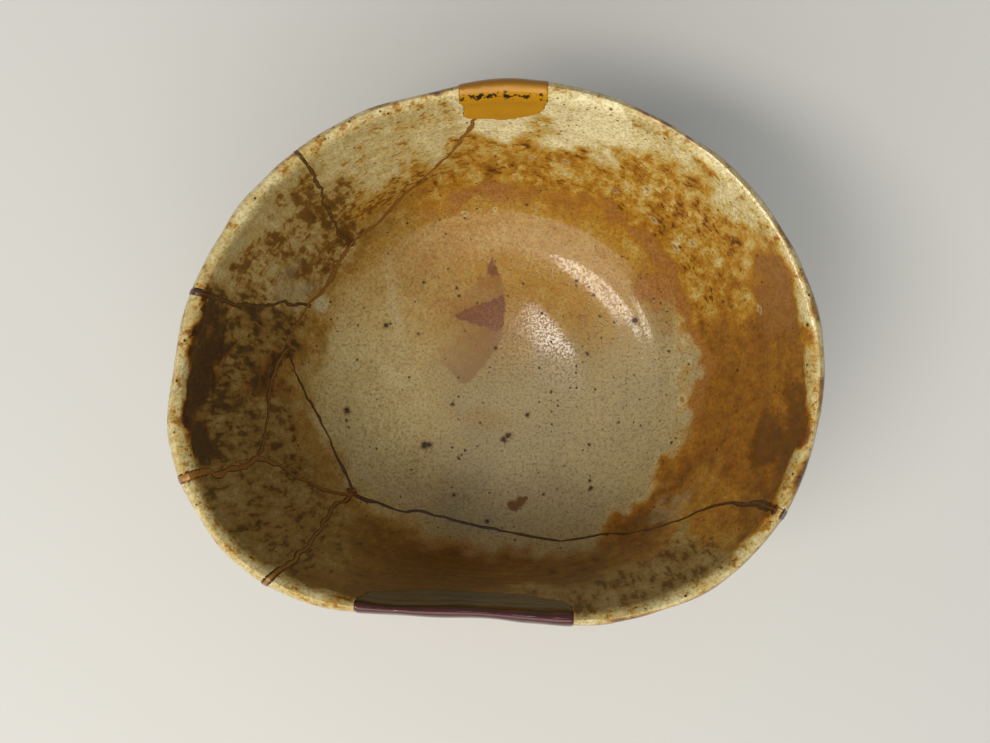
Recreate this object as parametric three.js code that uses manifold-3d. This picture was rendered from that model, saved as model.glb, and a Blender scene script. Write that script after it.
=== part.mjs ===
// A stoneware tea bowl that was thrown round, pressed out of round while soft, and later broken and
// mended. Its sherds are glued and their joints drawn over with lacquer, and two chips lost from the
// lip are filled: one at the back with gold-dusted lacquer, one at the front with dark lacquer.
//
// Units are millimetres and +Z is up. The front of the bowl, with the dark fill, faces -Y. The origin
// lies on the table under the middle of the bounding box.
//
// A place on the wall is given by an angle round the throwing axis, in degrees from +X towards +Y,
// and a reach, which runs from 0 in the middle of the floor to 1 at the foot of the lip.

import * as THREE from 'three';
import { mergeVertices } from 'three/addons/utils/BufferGeometryUtils.js';
import Module from 'manifold-3d';

const wasm = await Module();
wasm.setup();

// ---- Driving dimensions -------------------------------------------------------------------------

// The wall as thrown: [inner radius, inner height, outer radius, outer height] at even steps of reach.
const WALL = [
  [0.0, 10.5, 0.0, 4.2],
  [16.0, 10.7, 14.0, 5.2],
  [30.0, 11.8, 31.0, 8.4],
  [39.5, 14.8, 42.2, 11.0],
  [46.0, 20.0, 51.0, 18.0],
  [50.0, 28.5, 55.2, 27.4],
  [52.9, 40.0, 57.8, 39.4],
  [55.9, 53.5, 60.4, 53.0],
  [58.7, 68.0, 62.7, 68.0],
];
const LIP_TOP = 73.0;
const LIP_ROLL = LIP_TOP - WALL.at(-1)[1]; // height of the rounded edge above the last wall ring

// The foot ring, turned out of the base when the clay was leather hard.
const FOOT = { top: 29.0, bottom: 29.6, bevel: 0.9, ringWidth: 5.4, recess: 5.6, recessMiddle: 5.0 };

// How the round was pressed out of true: [lobes, share of the radius, angle of the first lobe].
const LOBES = [
  [2, 0.094, 2.5],
  [3, 0.04, -33.3],
  [4, 0.0173, 37.0],
  [5, 0.0055, 3.5],
];
const PRESS_FROM = 2.0; // the foot stays round, and the squeeze grows from this height
const PRESS_FULL = 66.0; // to this one
const PRESS_EVEN = 0.45; // share of the squeeze that grows evenly with height; the rest eases in

// The lip isn't level: [hills, height in mm, angle of the first hill].
const LIP_HILLS = [
  [2, 0.7, 60.0],
  [3, 0.6, 20.0],
  [5, 0.35, 75.0],
];
const HILLS_FROM = 40.0; // below this height the rings are level

const THROWING_AXIS = new THREE.Vector2(0.44, -2.1); // from the middle of the bounding box

// The lacquer that mends it.
const PROUD = 0.3; // how far a repair stands above the glaze
const CLEARANCE = 0.3; // gap between a repair and a sherd
const PAST_WALL = 3.0; // how far a cutter runs past both faces of the wall
const PAST_LIP = 1.35; // a reach that is clear above the lip

// Each seam's route: [angle, reach, width of the lacquer in mm].
const SEAMS = {
  long_back: [[93, 0.96, 1.0], [102, 0.8, 1.0], [111, 0.675, 1.1], [121.5, 0.605, 1.2], [129.5, 0.565, 1.5],
    [138.5, 0.575, 1.9], [147.5, 0.55, 1.9], [156, 0.555, 1.4], [161, 0.59, 1.1], [170, 0.63, 1.1],
    [173.5, 0.63, 1.1]],
  floor_left: [[173, 0.64, 1.0], [182.5, 0.555, 0.8], [188.5, 0.505, 0.8], [195, 0.47, 0.8], [203, 0.458, 0.8],
    [212, 0.468, 0.9], [220.5, 0.49, 1.2]],
  left_inner: [[172.5, 0.62, 1.1], [177, 0.66, 1.4], [183.5, 0.695, 1.6], [190, 0.715, 1.3], [195, 0.74, 1.1],
    [200.5, 0.79, 1.1]],
  left_low: [[200.5, PAST_LIP, 2.6], [200.8, 1.0, 2.2], [201.5, 0.955, 1.9], [201.5, 0.855, 1.6],
    [200.5, 0.782, 1.5], [204.5, 0.72, 1.2], [213.5, 0.608, 1.3], [218, 0.54, 1.1], [220.5, 0.475, 1.2]],
  front_left: [[224, PAST_LIP, 2.0], [224, 1.0, 1.7], [224, 0.9, 1.3], [221.5, 0.73, 1.1], [219.5, 0.6, 1.1],
    [220, 0.475, 1.3]],
  front_floor: [[218, 0.5, 1.6], [223.5, 0.473, 1.3], [231, 0.435, 0.9], [240.5, 0.385, 0.8], [251, 0.365, 0.8],
    [262, 0.375, 0.8], [274.5, 0.393, 0.8], [282.5, 0.435, 0.8], [295, 0.495, 0.8], [304, 0.545, 0.8],
    [313, 0.66, 0.8], [326, 0.82, 0.9], [330, 0.915, 1.3], [331.5, 1.0, 2.4], [332.3, PAST_LIP, 2.8]],
  back_left: [[134, PAST_LIP, 0.9], [134.5, 1.0, 0.9], [135.5, 0.89, 1.0], [138.5, 0.68, 1.1], [139, 0.56, 1.0]],
  left_high: [[166.7, PAST_LIP, 1.2], [167, 0.98, 1.2], [166.5, 0.86, 1.1], [163, 0.723, 1.0], [160, 0.57, 1.0]],
};
const SEAM_STEP = 6.5; // length of one facet along a seam

// The chips lost from the lip: the angle they face, and the lower edge of the loss as [across, height].
// Across runs from the middle of the chip towards a growing angle.
const GOLD_CHIP = {
  angle: 89.3,
  edge: [[-9.7, 80], [-9.6, 69], [-9.1, 66.4], [-7.6, 63.4], [-4.1, 60.4], [0.1, 59.2], [4.6, 60.4],
    [7.2, 61.4], [8.3, 64], [8.7, 69], [8.9, 80]],
};
const DARK_CHIP = {
  angle: 270.0,
  edge: [[-29.4, 80], [-28.9, 70.5], [-26.7, 65.8], [-20.9, 61.8], [-12, 60.1], [-2, 60.3], [5, 61.3],
    [11, 64.2], [14.5, 66.8], [15.0, 69.5], [15.2, 80]],
};
const CHIP_BLOCK = [28.0, 76.0]; // from this distance off the throwing axis to that one

// Fineness of the facets.
const ROUND_STEPS = 52;
const INNER_STEPS = 11;
const LIP_STEPS = 5;
const OUTER_STEPS = 8;
const EDGE_STEPS = 2; // facets to each stretch of a chip's edge

// ---- Materials ----------------------------------------------------------------------------------

const paint = (name, color, roughness, metalness = 0) =>
  new THREE.MeshStandardMaterial({ name, color, roughness, metalness });

const GLAZE = paint('ash_glaze', 0xb5a473, 0.32);
const SEAM_LACQUER = paint('bronzed_lacquer', 0x8a5a22, 0.4, 0.35);
const GOLD_LACQUER = paint('gold_lacquer', 0xc9921c, 0.28, 0.8);
const DARK_LACQUER = paint('dark_lacquer', 0x4a1a12, 0.15);

// ---- The pressed round --------------------------------------------------------------------------

const radians = THREE.MathUtils.degToRad;
const innerCurve = new THREE.SplineCurve(WALL.map(([r, z]) => new THREE.Vector2(r, z)));
const outerCurve = new THREE.SplineCurve(WALL.map(([, , r, z]) => new THREE.Vector2(r, z)));

// The sum of a list of waves round the bowl, at an angle in radians.
function waves(list, angle) {
  return list.reduce((sum, [count, size, start]) => sum + size * Math.cos(count * (angle - radians(start))), 0);
}

// Moves a point of the round bowl to where pressing left it.
function pressed(point) {
  const angle = Math.atan2(point.y, point.x);
  const rise = THREE.MathUtils.clamp((point.z - PRESS_FROM) / (PRESS_FULL - PRESS_FROM), 0, 1);
  const share = PRESS_EVEN * rise + (1 - PRESS_EVEN) * THREE.MathUtils.smoothstep(rise, 0, 1);
  const scale = 1 + share * waves(LOBES, angle);
  const lift = waves(LIP_HILLS, angle) * THREE.MathUtils.smoothstep(point.z, HILLS_FROM, LIP_TOP);
  return point.set(point.x * scale, point.y * scale, point.z + lift);
}

// The bowl's section, from the middle of the floor over the lip and down to the middle of the base.
function section() {
  const [lastInner, , lastOuter, lipFoot] = WALL.at(-1);
  const lip = new THREE.EllipseCurve(
    (lastInner + lastOuter) / 2, lipFoot, (lastOuter - lastInner) / 2, LIP_ROLL, Math.PI, 0, true);
  const footInner = FOOT.bottom - FOOT.ringWidth;
  const foot = [
    [FOOT.top, WALL[2][3] - 0.9],
    [FOOT.bottom, FOOT.bevel],
    [FOOT.bottom - FOOT.bevel, 0],
    [footInner + FOOT.bevel, 0],
    [footInner, FOOT.bevel],
    [footInner - 0.7, FOOT.recess],
    [footInner / 2, FOOT.recess],
    [0, FOOT.recessMiddle],
  ].map(([r, z]) => new THREE.Vector2(r, z));
  const footReach = 2 / (WALL.length - 1); // the wall ring that the foot stands under
  const outer = [];
  for (let i = 1; i <= OUTER_STEPS; i++) {
    outer.push(outerCurve.getPoint(THREE.MathUtils.lerp(1, footReach, i / OUTER_STEPS)));
  }
  return [...innerCurve.getPoints(INNER_STEPS), ...lip.getPoints(LIP_STEPS).slice(1), ...outer, ...foot];
}

// The section grown outwards by a distance, for what lies on top of the glaze.
function grown(points, distance) {
  return points.map((point, i) => {
    const before = points[Math.max(i - 1, 0)];
    const after = points[Math.min(i + 1, points.length - 1)];
    const along = after.clone().sub(before).normalize();
    const moved = new THREE.Vector2(point.x - along.y * distance, point.y + along.x * distance);
    return point.x === 0 ? new THREE.Vector2(0, moved.y) : moved;
  });
}

// ---- Solids -------------------------------------------------------------------------------------

// A closed three.js geometry as a solid that can be cut.
function solidOf(geometry) {
  const bare = geometry.clone();
  bare.deleteAttribute('normal');
  bare.deleteAttribute('uv');
  const merged = mergeVertices(bare, 1e-3);
  return new wasm.Manifold(new wasm.Mesh({
    numProp: 3,
    vertProperties: merged.attributes.position.array,
    triVerts: new Uint32Array(merged.index.array),
  }));
}

// A solid as a geometry that three.js can show.
function geometryOf(solid) {
  const mesh = solid.getMesh();
  const geometry = new THREE.BufferGeometry();
  geometry.setAttribute('position', new THREE.BufferAttribute(mesh.vertProperties, mesh.numProp));
  geometry.setIndex(new THREE.BufferAttribute(mesh.triVerts, 1));
  geometry.computeVertexNormals();
  return geometry;
}

// The whole bowl before it broke, grown by a distance.
function wholeBowl(distance = 0) {
  const geometry = new THREE.LatheGeometry(grown(section(), distance).reverse(), ROUND_STEPS);
  geometry.rotateX(Math.PI / 2);
  const position = geometry.attributes.position;
  const point = new THREE.Vector3();
  for (let i = 0; i < position.count; i++) {
    pressed(point.fromBufferAttribute(position, i));
    position.setXYZ(i, point.x, point.y, point.z);
  }
  return solidOf(geometry);
}

// A point of one face of the pressed wall. Past a reach of 1 the face runs on straight up.
function facePoint(curve, angle, reach) {
  const flat = curve.getPoint(Math.min(reach, 1));
  const above = Math.max(reach - 1, 0) * LIP_TOP;
  const point = pressed(new THREE.Vector3(flat.x * Math.cos(angle), flat.x * Math.sin(angle), flat.y));
  point.z += above;
  return point;
}

// The cutter of one seam: a ribbon that stands square in the wall, wider by twice the margin.
function seamBlade(route, margin) {
  const path = new THREE.CatmullRomCurve3(
    route.map(([angle, reach]) => new THREE.Vector3(radians(angle), reach, 0)), false, 'centripetal');
  const middle = new THREE.CatmullRomCurve3(
    route.map(([angle, reach]) => facePoint(innerCurve, radians(angle), reach)));
  const steps = Math.max(3, Math.round(middle.getLength() / SEAM_STEP));
  const places = Array.from({ length: steps + 1 }, (_, i) => {
    const share = i / steps;
    const at = path.getPoint(share);
    const along = share * (route.length - 1);
    const k = Math.min(Math.floor(along), route.length - 2);
    const width = THREE.MathUtils.lerp(route[k][2], route[k + 1][2], along - k);
    return {
      inner: facePoint(innerCurve, at.x, at.y),
      outer: facePoint(outerCurve, at.x, at.y),
      half: width / 2 + margin,
    };
  });
  const corners = places.flatMap((place, i) => {
    const through = place.outer.clone().sub(place.inner).normalize();
    const ahead = places[Math.min(i + 1, steps)].inner.clone().sub(places[Math.max(i - 1, 0)].inner);
    const side = ahead.cross(through).normalize().multiplyScalar(place.half);
    const inside = place.inner.clone().addScaledVector(through, -PAST_WALL);
    const outside = place.outer.clone().addScaledVector(through, PAST_WALL);
    return [inside.clone().sub(side), inside.clone().add(side), outside.clone().add(side), outside.clone().sub(side)];
  });
  return solidOf(ringStack(corners, 4));
}

// A closed geometry through rings of points, each ring holding the same number, with flat ends.
function ringStack(points, ringSize) {
  const rings = points.length / ringSize;
  const index = [];
  for (let ring = 0; ring < rings - 1; ring++) {
    for (let i = 0; i < ringSize; i++) {
      const a = ring * ringSize + i;
      const b = ring * ringSize + ((i + 1) % ringSize);
      index.push(a, b + ringSize, b, a, a + ringSize, b + ringSize);
    }
  }
  const last = (rings - 1) * ringSize;
  for (let i = 1; i < ringSize - 1; i++) {
    index.push(0, i, i + 1, last, last + i + 1, last + i);
  }
  return new THREE.BufferGeometry().setFromPoints(points).setIndex(index);
}

// The block of wall that a chip took away, its edge drawn in by a margin.
function chipBlock(chip, margin = 0) {
  const outline = chip.edge.map(([across, height]) => new THREE.Vector2(across, height));
  const middle = new THREE.Vector2((outline[0].x + outline.at(-1).x) / 2, 80);
  const drawn = outline.map((point, i) => {
    const before = outline[Math.max(i - 1, 0)];
    const after = outline[Math.min(i + 1, outline.length - 1)];
    const along = after.clone().sub(before).normalize();
    const inward = new THREE.Vector2(-along.y, along.x);
    if (inward.dot(middle.clone().sub(point)) < 0) inward.negate();
    return point.clone().addScaledVector(inward, margin);
  });
  const shape = new THREE.Shape();
  shape.moveTo(drawn[0].x, drawn[0].y);
  shape.lineTo(drawn[1].x, drawn[1].y);
  shape.splineThru(drawn.slice(2, -1));
  shape.lineTo(drawn.at(-1).x, drawn.at(-1).y);
  const geometry = new THREE.ExtrudeGeometry(shape, {
    depth: CHIP_BLOCK[1] - CHIP_BLOCK[0], bevelEnabled: false, curveSegments: EDGE_STEPS,
  });
  geometry.translate(0, 0, CHIP_BLOCK[0]);
  const facing = radians(chip.angle);
  const out = new THREE.Vector3(Math.cos(facing), Math.sin(facing), 0);
  const up = new THREE.Vector3(0, 0, 1);
  geometry.applyMatrix4(new THREE.Matrix4().makeBasis(up.clone().cross(out), up, out));
  return solidOf(geometry);
}

const joined = (solids) => solids.reduce((sum, solid) => sum.add(solid));
const seams = (margin) => joined(Object.values(SEAMS).map((route) => seamBlade(route, margin)));

// The sherd that holds the wall's middle at an angle and reach.
function sherdAt(sherds, angle, reach) {
  const inner = facePoint(innerCurve, radians(angle), reach);
  const heart = inner.lerp(facePoint(outerCurve, radians(angle), reach), 0.5);
  const probe = solidOf(new THREE.OctahedronGeometry(0.5).translate(heart.x, heart.y, heart.z));
  return sherds.find((sherd) => sherd.intersect(probe).volume() > 0);
}

// ---- The object ---------------------------------------------------------------------------------

const bowl = wholeBowl();
const overGlaze = wholeBowl(PROUD);
const sherds = bowl
  .subtract(seams(CLEARANCE))
  .subtract(chipBlock(GOLD_CHIP))
  .subtract(chipBlock(DARK_CHIP))
  .decompose();

// Each sherd by a place that it holds: [name, angle, reach].
const SHERDS = [
  ['bowl_body_with_foot', 20, 0.5],
  ['sherd_back_left', 113, 0.85],
  ['sherd_left_upper', 150, 0.85],
  ['sherd_left_middle', 184, 0.85],
  ['sherd_left_hip', 200, 0.58],
  ['sherd_front_left', 212, 0.85],
  ['sherd_front', 270, 0.65],
];

const onAxis = new THREE.Group();
onAxis.position.set(THROWING_AXIS.x, THROWING_AXIS.y, 0);

function addPiece(name, solid, material) {
  const piece = new THREE.Mesh(geometryOf(solid), material);
  piece.name = name;
  onAxis.add(piece);
}

for (const [name, angle, reach] of SHERDS) addPiece(name, sherdAt(sherds, angle, reach), GLAZE);
addPiece(
  'lacquer_seams',
  overGlaze
    .intersect(seams(0))
    .subtract(chipBlock(GOLD_CHIP, -CLEARANCE))
    .subtract(chipBlock(DARK_CHIP, -CLEARANCE)),
  SEAM_LACQUER);
addPiece('gold_lip_fill', overGlaze.intersect(chipBlock(GOLD_CHIP, CLEARANCE)), GOLD_LACQUER);
addPiece('dark_lacquer_lip_fill', overGlaze.intersect(chipBlock(DARK_CHIP, CLEARANCE)), DARK_LACQUER);

const teaBowl = new THREE.Group();
teaBowl.add(onAxis);

export default teaBowl;
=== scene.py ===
"""A kintsugi tea bowl: glazed stoneware, pressed out of round, broken, and mended with lacquer.

The bowl is thrown whole, pressed, given its relief and then broken along its seams, so that the sherds
meet as real ones do. The lacquer is laid over the breaks afterwards. Shapes are worked out in millimetres
round the throwing axis, and every mesh is stored in metres in the frame's own coordinates, +Z up.
"""

import logging
import math
from dataclasses import dataclass, field
from enum import Enum
from typing import Any, Sequence

import bpy
import numpy as np
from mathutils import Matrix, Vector
from mathutils.kdtree import KDTree


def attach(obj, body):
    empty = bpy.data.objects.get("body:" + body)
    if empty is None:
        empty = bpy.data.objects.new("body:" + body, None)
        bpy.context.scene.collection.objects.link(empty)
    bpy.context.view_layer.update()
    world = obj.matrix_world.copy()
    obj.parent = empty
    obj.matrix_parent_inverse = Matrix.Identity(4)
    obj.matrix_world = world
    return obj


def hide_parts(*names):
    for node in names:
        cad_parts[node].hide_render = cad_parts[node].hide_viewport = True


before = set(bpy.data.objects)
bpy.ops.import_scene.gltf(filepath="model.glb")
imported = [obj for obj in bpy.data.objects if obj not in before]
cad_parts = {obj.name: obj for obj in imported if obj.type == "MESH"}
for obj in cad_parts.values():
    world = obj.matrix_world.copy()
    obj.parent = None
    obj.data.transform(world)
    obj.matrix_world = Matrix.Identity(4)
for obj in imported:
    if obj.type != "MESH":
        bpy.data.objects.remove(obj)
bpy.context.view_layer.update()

LOG = logging.getLogger("tea_bowl")
MM = 0.001


# ---- Curves and noise -------------------------------------------------------------------------------


def through(stations: np.ndarray, share: np.ndarray) -> np.ndarray:
    """Points of a smooth curve that passes through its stations.

    Args:
        stations: the stations in order, one row each.
        share: places along the curve, from 0 at the first station to 1 at the last.

    Returns:
        One row for each place.
    """
    last = len(stations) - 1
    place = np.clip(share, 0.0, 1.0) * last
    k = np.minimum(np.floor(place).astype(int), last - 1)
    w = (place - k)[:, None]
    before, start = stations[np.maximum(k - 1, 0)], stations[k]
    end, after = stations[k + 1], stations[np.minimum(k + 2, last)]
    leave, arrive = (end - before) / 2, (after - start) / 2
    return (
        (2 * start - 2 * end + leave + arrive) * w**3
        + (3 * end - 3 * start - 2 * leave - arrive) * w**2
        + leave * w
        + start
    )


def even_shares(points: np.ndarray, step: float) -> np.ndarray:
    """Shares of a dense run of points at which its length is stepped off evenly.

    Args:
        points: a dense run of points, one row each.
        step: the wanted distance between places.

    Returns:
        Shares from 0 to 1, counted in rows of the run.
    """
    run = np.concatenate([[0.0], np.cumsum(np.linalg.norm(np.diff(points, axis=0), axis=1))])
    count = max(2, round(run[-1] / step))
    return np.interp(np.linspace(0, run[-1], count + 1), run, np.linspace(0, 1, len(points)))


def smooth(value: np.ndarray, low: float, high: float) -> np.ndarray:
    """A soft step from 0 at low to 1 at high, either way round."""
    share = np.clip((value - low) / (high - low), 0.0, 1.0)
    return share * share * (3 - 2 * share)


def ripples(points: np.ndarray, wavelength: float, seed: int, count: int = 20) -> np.ndarray:
    """A random, gently rolling field of about unit height.

    Args:
        points: where it is wanted, one row each.
        wavelength: the usual distance between two crests, in the points' unit.
        seed: the seed that settles its crests.
        count: how many waves are summed.

    Returns:
        The height at each point.
    """
    rng = np.random.default_rng(seed)
    axes = rng.normal(size=(count, points.shape[1]))
    axes /= np.linalg.norm(axes, axis=1, keepdims=True)
    numbers = 2 * math.pi / (wavelength * rng.uniform(0.7, 1.5, count))
    phases = rng.uniform(0, 2 * math.pi, count)
    field_sum = np.zeros(len(points))
    for axis, number, phase in zip(axes, numbers, phases):
        field_sum += np.cos(points @ axis * number + phase)
    return field_sum * math.sqrt(2 / count)


# ---- The bowl's form --------------------------------------------------------------------------------


class Side(Enum):
    """The two faces of the wall."""

    INNER = 0
    OUTER = 2


@dataclass(frozen=True)
class ThrownSection:
    """The bowl's section as it was thrown, in mm from the throwing axis.

    Reach is a place in the wall, from 0 in the middle of the floor to 1 at the foot of the lip. Course is a
    place on the skin: 0 in the middle of the floor, 1 and 2 at the foot of the lip inside and outside, 2.75
    where the foot ring begins and 3 in the middle of the base.
    """

    wall: tuple[tuple[float, float, float, float], ...] = (
        (0.0, 10.5, 0.0, 4.2),
        (16.0, 10.7, 14.0, 5.2),
        (30.0, 11.8, 31.0, 8.4),
        (39.5, 14.8, 42.2, 11.0),
        (46.0, 20.0, 51.0, 18.0),
        (50.0, 28.5, 55.2, 27.4),
        (52.9, 40.0, 57.8, 39.4),
        (55.9, 53.5, 60.4, 53.0),
        (58.7, 68.0, 62.7, 68.0),
    )
    lip_top: float = 73.0
    level_floor: float = 20.0
    foot: tuple[tuple[float, float], ...] = (
        (29.9, 7.9), (29.1, 7.2), (29.0, 5.5), (29.4, 1.3), (29.1, 0.4), (28.3, 0.0), (25.5, 0.0),
        (24.6, 0.3),
        (24.1, 1.2), (23.6, 4.7), (22.8, 5.5), (12.0, 5.6), (0.0, 5.0),
    )
    foot_course: float = 2.75
    samples: int = 300

    def face(self, side: Side, reach: np.ndarray) -> np.ndarray:
        """Radius and height of one face of the wall.

        Args:
            side: the face.
            reach: places in the wall. Past 1 the face runs on straight up.

        Returns:
            One row of radius and height for each place.
        """
        stations = np.array(self.wall)[:, side.value:side.value + 2]
        points = through(stations, reach)
        if side is Side.INNER:
            points[:, 1] = np.where(reach < 3 / 8, self._well(points[:, 0]), points[:, 1])
        points[:, 1] += np.maximum(reach - 1, 0) * self.lip_top
        return points

    def _well(self, radius: np.ndarray) -> np.ndarray:
        """The height of the floor: level in the middle, then rising to meet the wall."""
        (r0, z0), (r1, z1), (r2, z2) = (self.wall[i][:2] for i in (2, 3, 4))
        slope, run = (z2 - z0) / (r2 - r0), r1 - self.level_floor
        cubic = (slope * run - 2 * (z1 - self.wall[0][1])) / run**3
        square = (z1 - self.wall[0][1]) / run**2 - cubic * run
        past = np.maximum(radius - self.level_floor, 0)
        return self.wall[0][1] + square * past**2 + cubic * past**3

    def skin(self) -> tuple[np.ndarray, np.ndarray, np.ndarray]:
        """The whole skin, finely sampled.

        Returns:
            The course, the radius and height, and the outward normal of each sample.
        """
        reach = np.linspace(0, 1, self.samples)
        inner = self.face(Side.INNER, reach)
        turn = np.linspace(math.pi, 0, self.samples // 4)[1:-1]
        (r_in, foot_z), (r_out, _) = inner[-1], self.face(Side.OUTER, np.ones(1))[0]
        lip = np.column_stack([
            (r_in + r_out) / 2 + (r_out - r_in) / 2 * np.cos(turn),
            foot_z + (self.lip_top - foot_z) * np.sin(turn),
        ])
        back = np.linspace(1, 3 - self.foot_course, self.samples)
        outer = self.face(Side.OUTER, back)
        corners = np.array(self.foot)
        fine = np.linspace(0, len(corners) - 1, self.samples // 2)
        foot = np.column_stack([np.interp(fine, range(len(corners)), corners[:, i]) for i in (0, 1)])
        courses = [reach, 1 + (math.pi - turn) / math.pi, 3 - back,
                   np.linspace(self.foot_course + 0.01, 3, len(foot))]
        points = np.concatenate([inner, lip, outer, foot])
        along = np.gradient(points, axis=0)
        along /= np.maximum(np.linalg.norm(along, axis=1, keepdims=True), 1e-9)
        return np.concatenate(courses), points, np.column_stack([-along[:, 1], along[:, 0]])


@dataclass(frozen=True)
class Pressing:
    """How the soft round was pressed out of true, in mm and degrees."""

    lobes: tuple[tuple[int, float, float], ...] = (
        (2, 0.094, 2.5), (3, 0.04, -33.3), (4, 0.0173, 37.0), (5, 0.0055, 3.5),
    )
    start: float = 2.0
    full: float = 66.0
    even: float = 0.45
    hills: tuple[tuple[int, float, float], ...] = ((2, 0.7, 60.0), (3, 0.6, 20.0), (5, 0.35, 75.0))
    hills_from: float = 40.0
    hills_full: float = 73.0
    axis: tuple[float, float] = (0.44, -2.1)

    @staticmethod
    def waves(parts: Sequence[tuple[int, float, float]], angle: np.ndarray) -> np.ndarray:
        """The sum of a list of waves round the bowl at angles in radians."""
        return sum(size * np.cos(count * (angle - math.radians(start))) for count, size, start in parts)

    def scale(self, angle: np.ndarray, height: np.ndarray) -> np.ndarray:
        """How much wider than thrown the bowl is at angles and heights."""
        rise = np.clip((height - self.start) / (self.full - self.start), 0, 1)
        share = self.even * rise + (1 - self.even) * smooth(rise, 0, 1)
        return 1 + share * self.waves(self.lobes, angle)

    def lift(self, angle: np.ndarray, height: np.ndarray) -> np.ndarray:
        """How much higher than thrown the lip is at angles and heights."""
        return self.waves(self.hills, angle) * smooth(height, self.hills_from, self.hills_full)

    def press(self, points: np.ndarray) -> np.ndarray:
        """Moves points of the thrown bowl, in mm, to their place in the frame, in metres."""
        angle = np.arctan2(points[:, 1], points[:, 0])
        wider = self.scale(angle, points[:, 2])
        placed = np.column_stack([
            points[:, 0] * wider + self.axis[0],
            points[:, 1] * wider + self.axis[1],
            points[:, 2] + self.lift(angle, points[:, 2]),
        ])
        return placed * MM

    def thrown(self, placed: np.ndarray) -> np.ndarray:
        """Takes points from their place in the frame back to the thrown bowl, in mm."""
        points = placed / MM - np.array([*self.axis, 0.0])
        angle = np.arctan2(points[:, 1], points[:, 0])
        height = points[:, 2] - self.lift(angle, points[:, 2])
        return np.column_stack([points[:, :2] / self.scale(angle, height)[:, None], height])


@dataclass(frozen=True)
class Relief:
    """How far the fired skin stands off the thrown section, in mm."""

    hand: float = 0.2
    hand_size: float = 27.0
    glaze: float = 0.05
    glaze_size: float = 8.0
    ridge_pitch: float = 6.4
    ridge_inside: float = 0.07
    ridge_outside: float = 0.16
    floor_share: float = 0.06
    blister_angle: float = 170.5
    blister_course: float = 0.487
    blister_radius: float = 3.1
    blister_height: float = 1.15
    blister_moat: float = 0.28
    bare_foot: tuple[float, float] = (2.68, 2.74)
    floor_rise: tuple[float, float] = (0.42, 0.6)
    lip_top: float = 1.5

    def height(self, points: np.ndarray, course: np.ndarray, blister: np.ndarray) -> np.ndarray:
        """The relief at points of the skin.

        Args:
            points: places on the thrown bowl, in mm.
            course: their courses.
            blister: the middle of the blister on the thrown bowl, in mm.

        Returns:
            Millimetres out of the skin.
        """
        angle = np.arctan2(points[:, 1], points[:, 0])
        run = np.hypot(points[:, 0], points[:, 1]) + points[:, 2]
        off_floor = self.floor_share + (1 - self.floor_share) * smooth(course, *self.floor_rise)
        off_foot = (1 - smooth(course, *self.bare_foot)) * off_floor
        ridge = np.sin(2 * math.pi * run / self.ridge_pitch + angle + 0.8 * ripples(points, 60, 7))
        inside, outside = self.ridge_inside * smooth(course, 0.2, 0.5), self.ridge_outside * off_foot
        share = np.where(course < self.lip_top, inside, outside)
        total = share * ridge * smooth(np.abs(course - self.lip_top), 0.5, 0.62)
        total += off_foot * self.hand * ripples(points, self.hand_size, 11)
        total += off_foot * self.glaze * ripples(points, self.glaze_size, 12)
        off = np.linalg.norm((points - blister) * (1, 1, 0.8), axis=1) / self.blister_radius
        total += self.blister_height * np.clip(1 - off**2, 0, None) ** 1.2
        total -= self.blister_moat * np.exp(-(((off - 1.15) / 0.25) ** 2))
        return total


@dataclass
class BowlForm:
    """The finished form of the bowl: every place on its skin and in its wall."""

    section: ThrownSection = field(default_factory=ThrownSection)
    pressing: Pressing = field(default_factory=Pressing)
    relief: Relief = field(default_factory=Relief)

    def __post_init__(self) -> None:
        """Samples the skin once."""
        self.course, self.profile, self.normal = self.section.skin()
        spot = np.array([math.radians(self.relief.blister_angle)]), np.array([self.relief.blister_course])
        self.blister = self._thrown(*spot)[0]

    def _thrown(self, angle: np.ndarray, course: np.ndarray) -> np.ndarray:
        """Places on the thrown skin, in mm, with no relief."""
        radius, height = (np.interp(course, self.course, self.profile[:, i]) for i in (0, 1))
        return np.column_stack([radius * np.cos(angle), radius * np.sin(angle), height])

    def skin(self, angle: np.ndarray, course: np.ndarray) -> np.ndarray:
        """Places on the finished skin.

        Args:
            angle: angles round the throwing axis, in radians.
            course: courses along the section.

        Returns:
            Places in the frame, in metres.
        """
        points = self._thrown(angle, course)
        out_r, out_z = (np.interp(course, self.course, self.normal[:, i]) for i in (0, 1))
        height = self.relief.height(points, course, self.blister)[:, None]
        points += height * np.column_stack([out_r * np.cos(angle), out_r * np.sin(angle), out_z])
        return self.pressing.press(points)

    def face(self, side: Side, angle: np.ndarray, reach: np.ndarray) -> np.ndarray:
        """Places on one face of the wall with no relief, in the frame, in metres."""
        flat = self.section.face(side, reach)
        over = np.maximum(reach - 1, 0) * self.section.lip_top
        points = np.column_stack([flat[:, 0] * np.cos(angle), flat[:, 0] * np.sin(angle),
                                  flat[:, 1] - over])
        placed = self.pressing.press(points)
        placed[:, 2] += over * MM
        return placed

    def locate(self, placed: np.ndarray) -> tuple[np.ndarray, np.ndarray]:
        """The angle in radians and the course of places on or near the skin, in metres."""
        points = self.pressing.thrown(placed)
        flat = np.column_stack([np.hypot(points[:, 0], points[:, 1]), points[:, 2]])
        course = np.empty(len(flat))
        for start in range(0, len(flat), 20000):
            part = flat[start:start + 20000]
            gap = ((part[:, None, :] - self.profile[None, :, :]) ** 2).sum(axis=2)
            course[start:start + 20000] = self.course[gap.argmin(axis=1)]
        return np.arctan2(points[:, 1], points[:, 0]), course


# ---- Work at the bench ------------------------------------------------------------------------------


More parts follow.
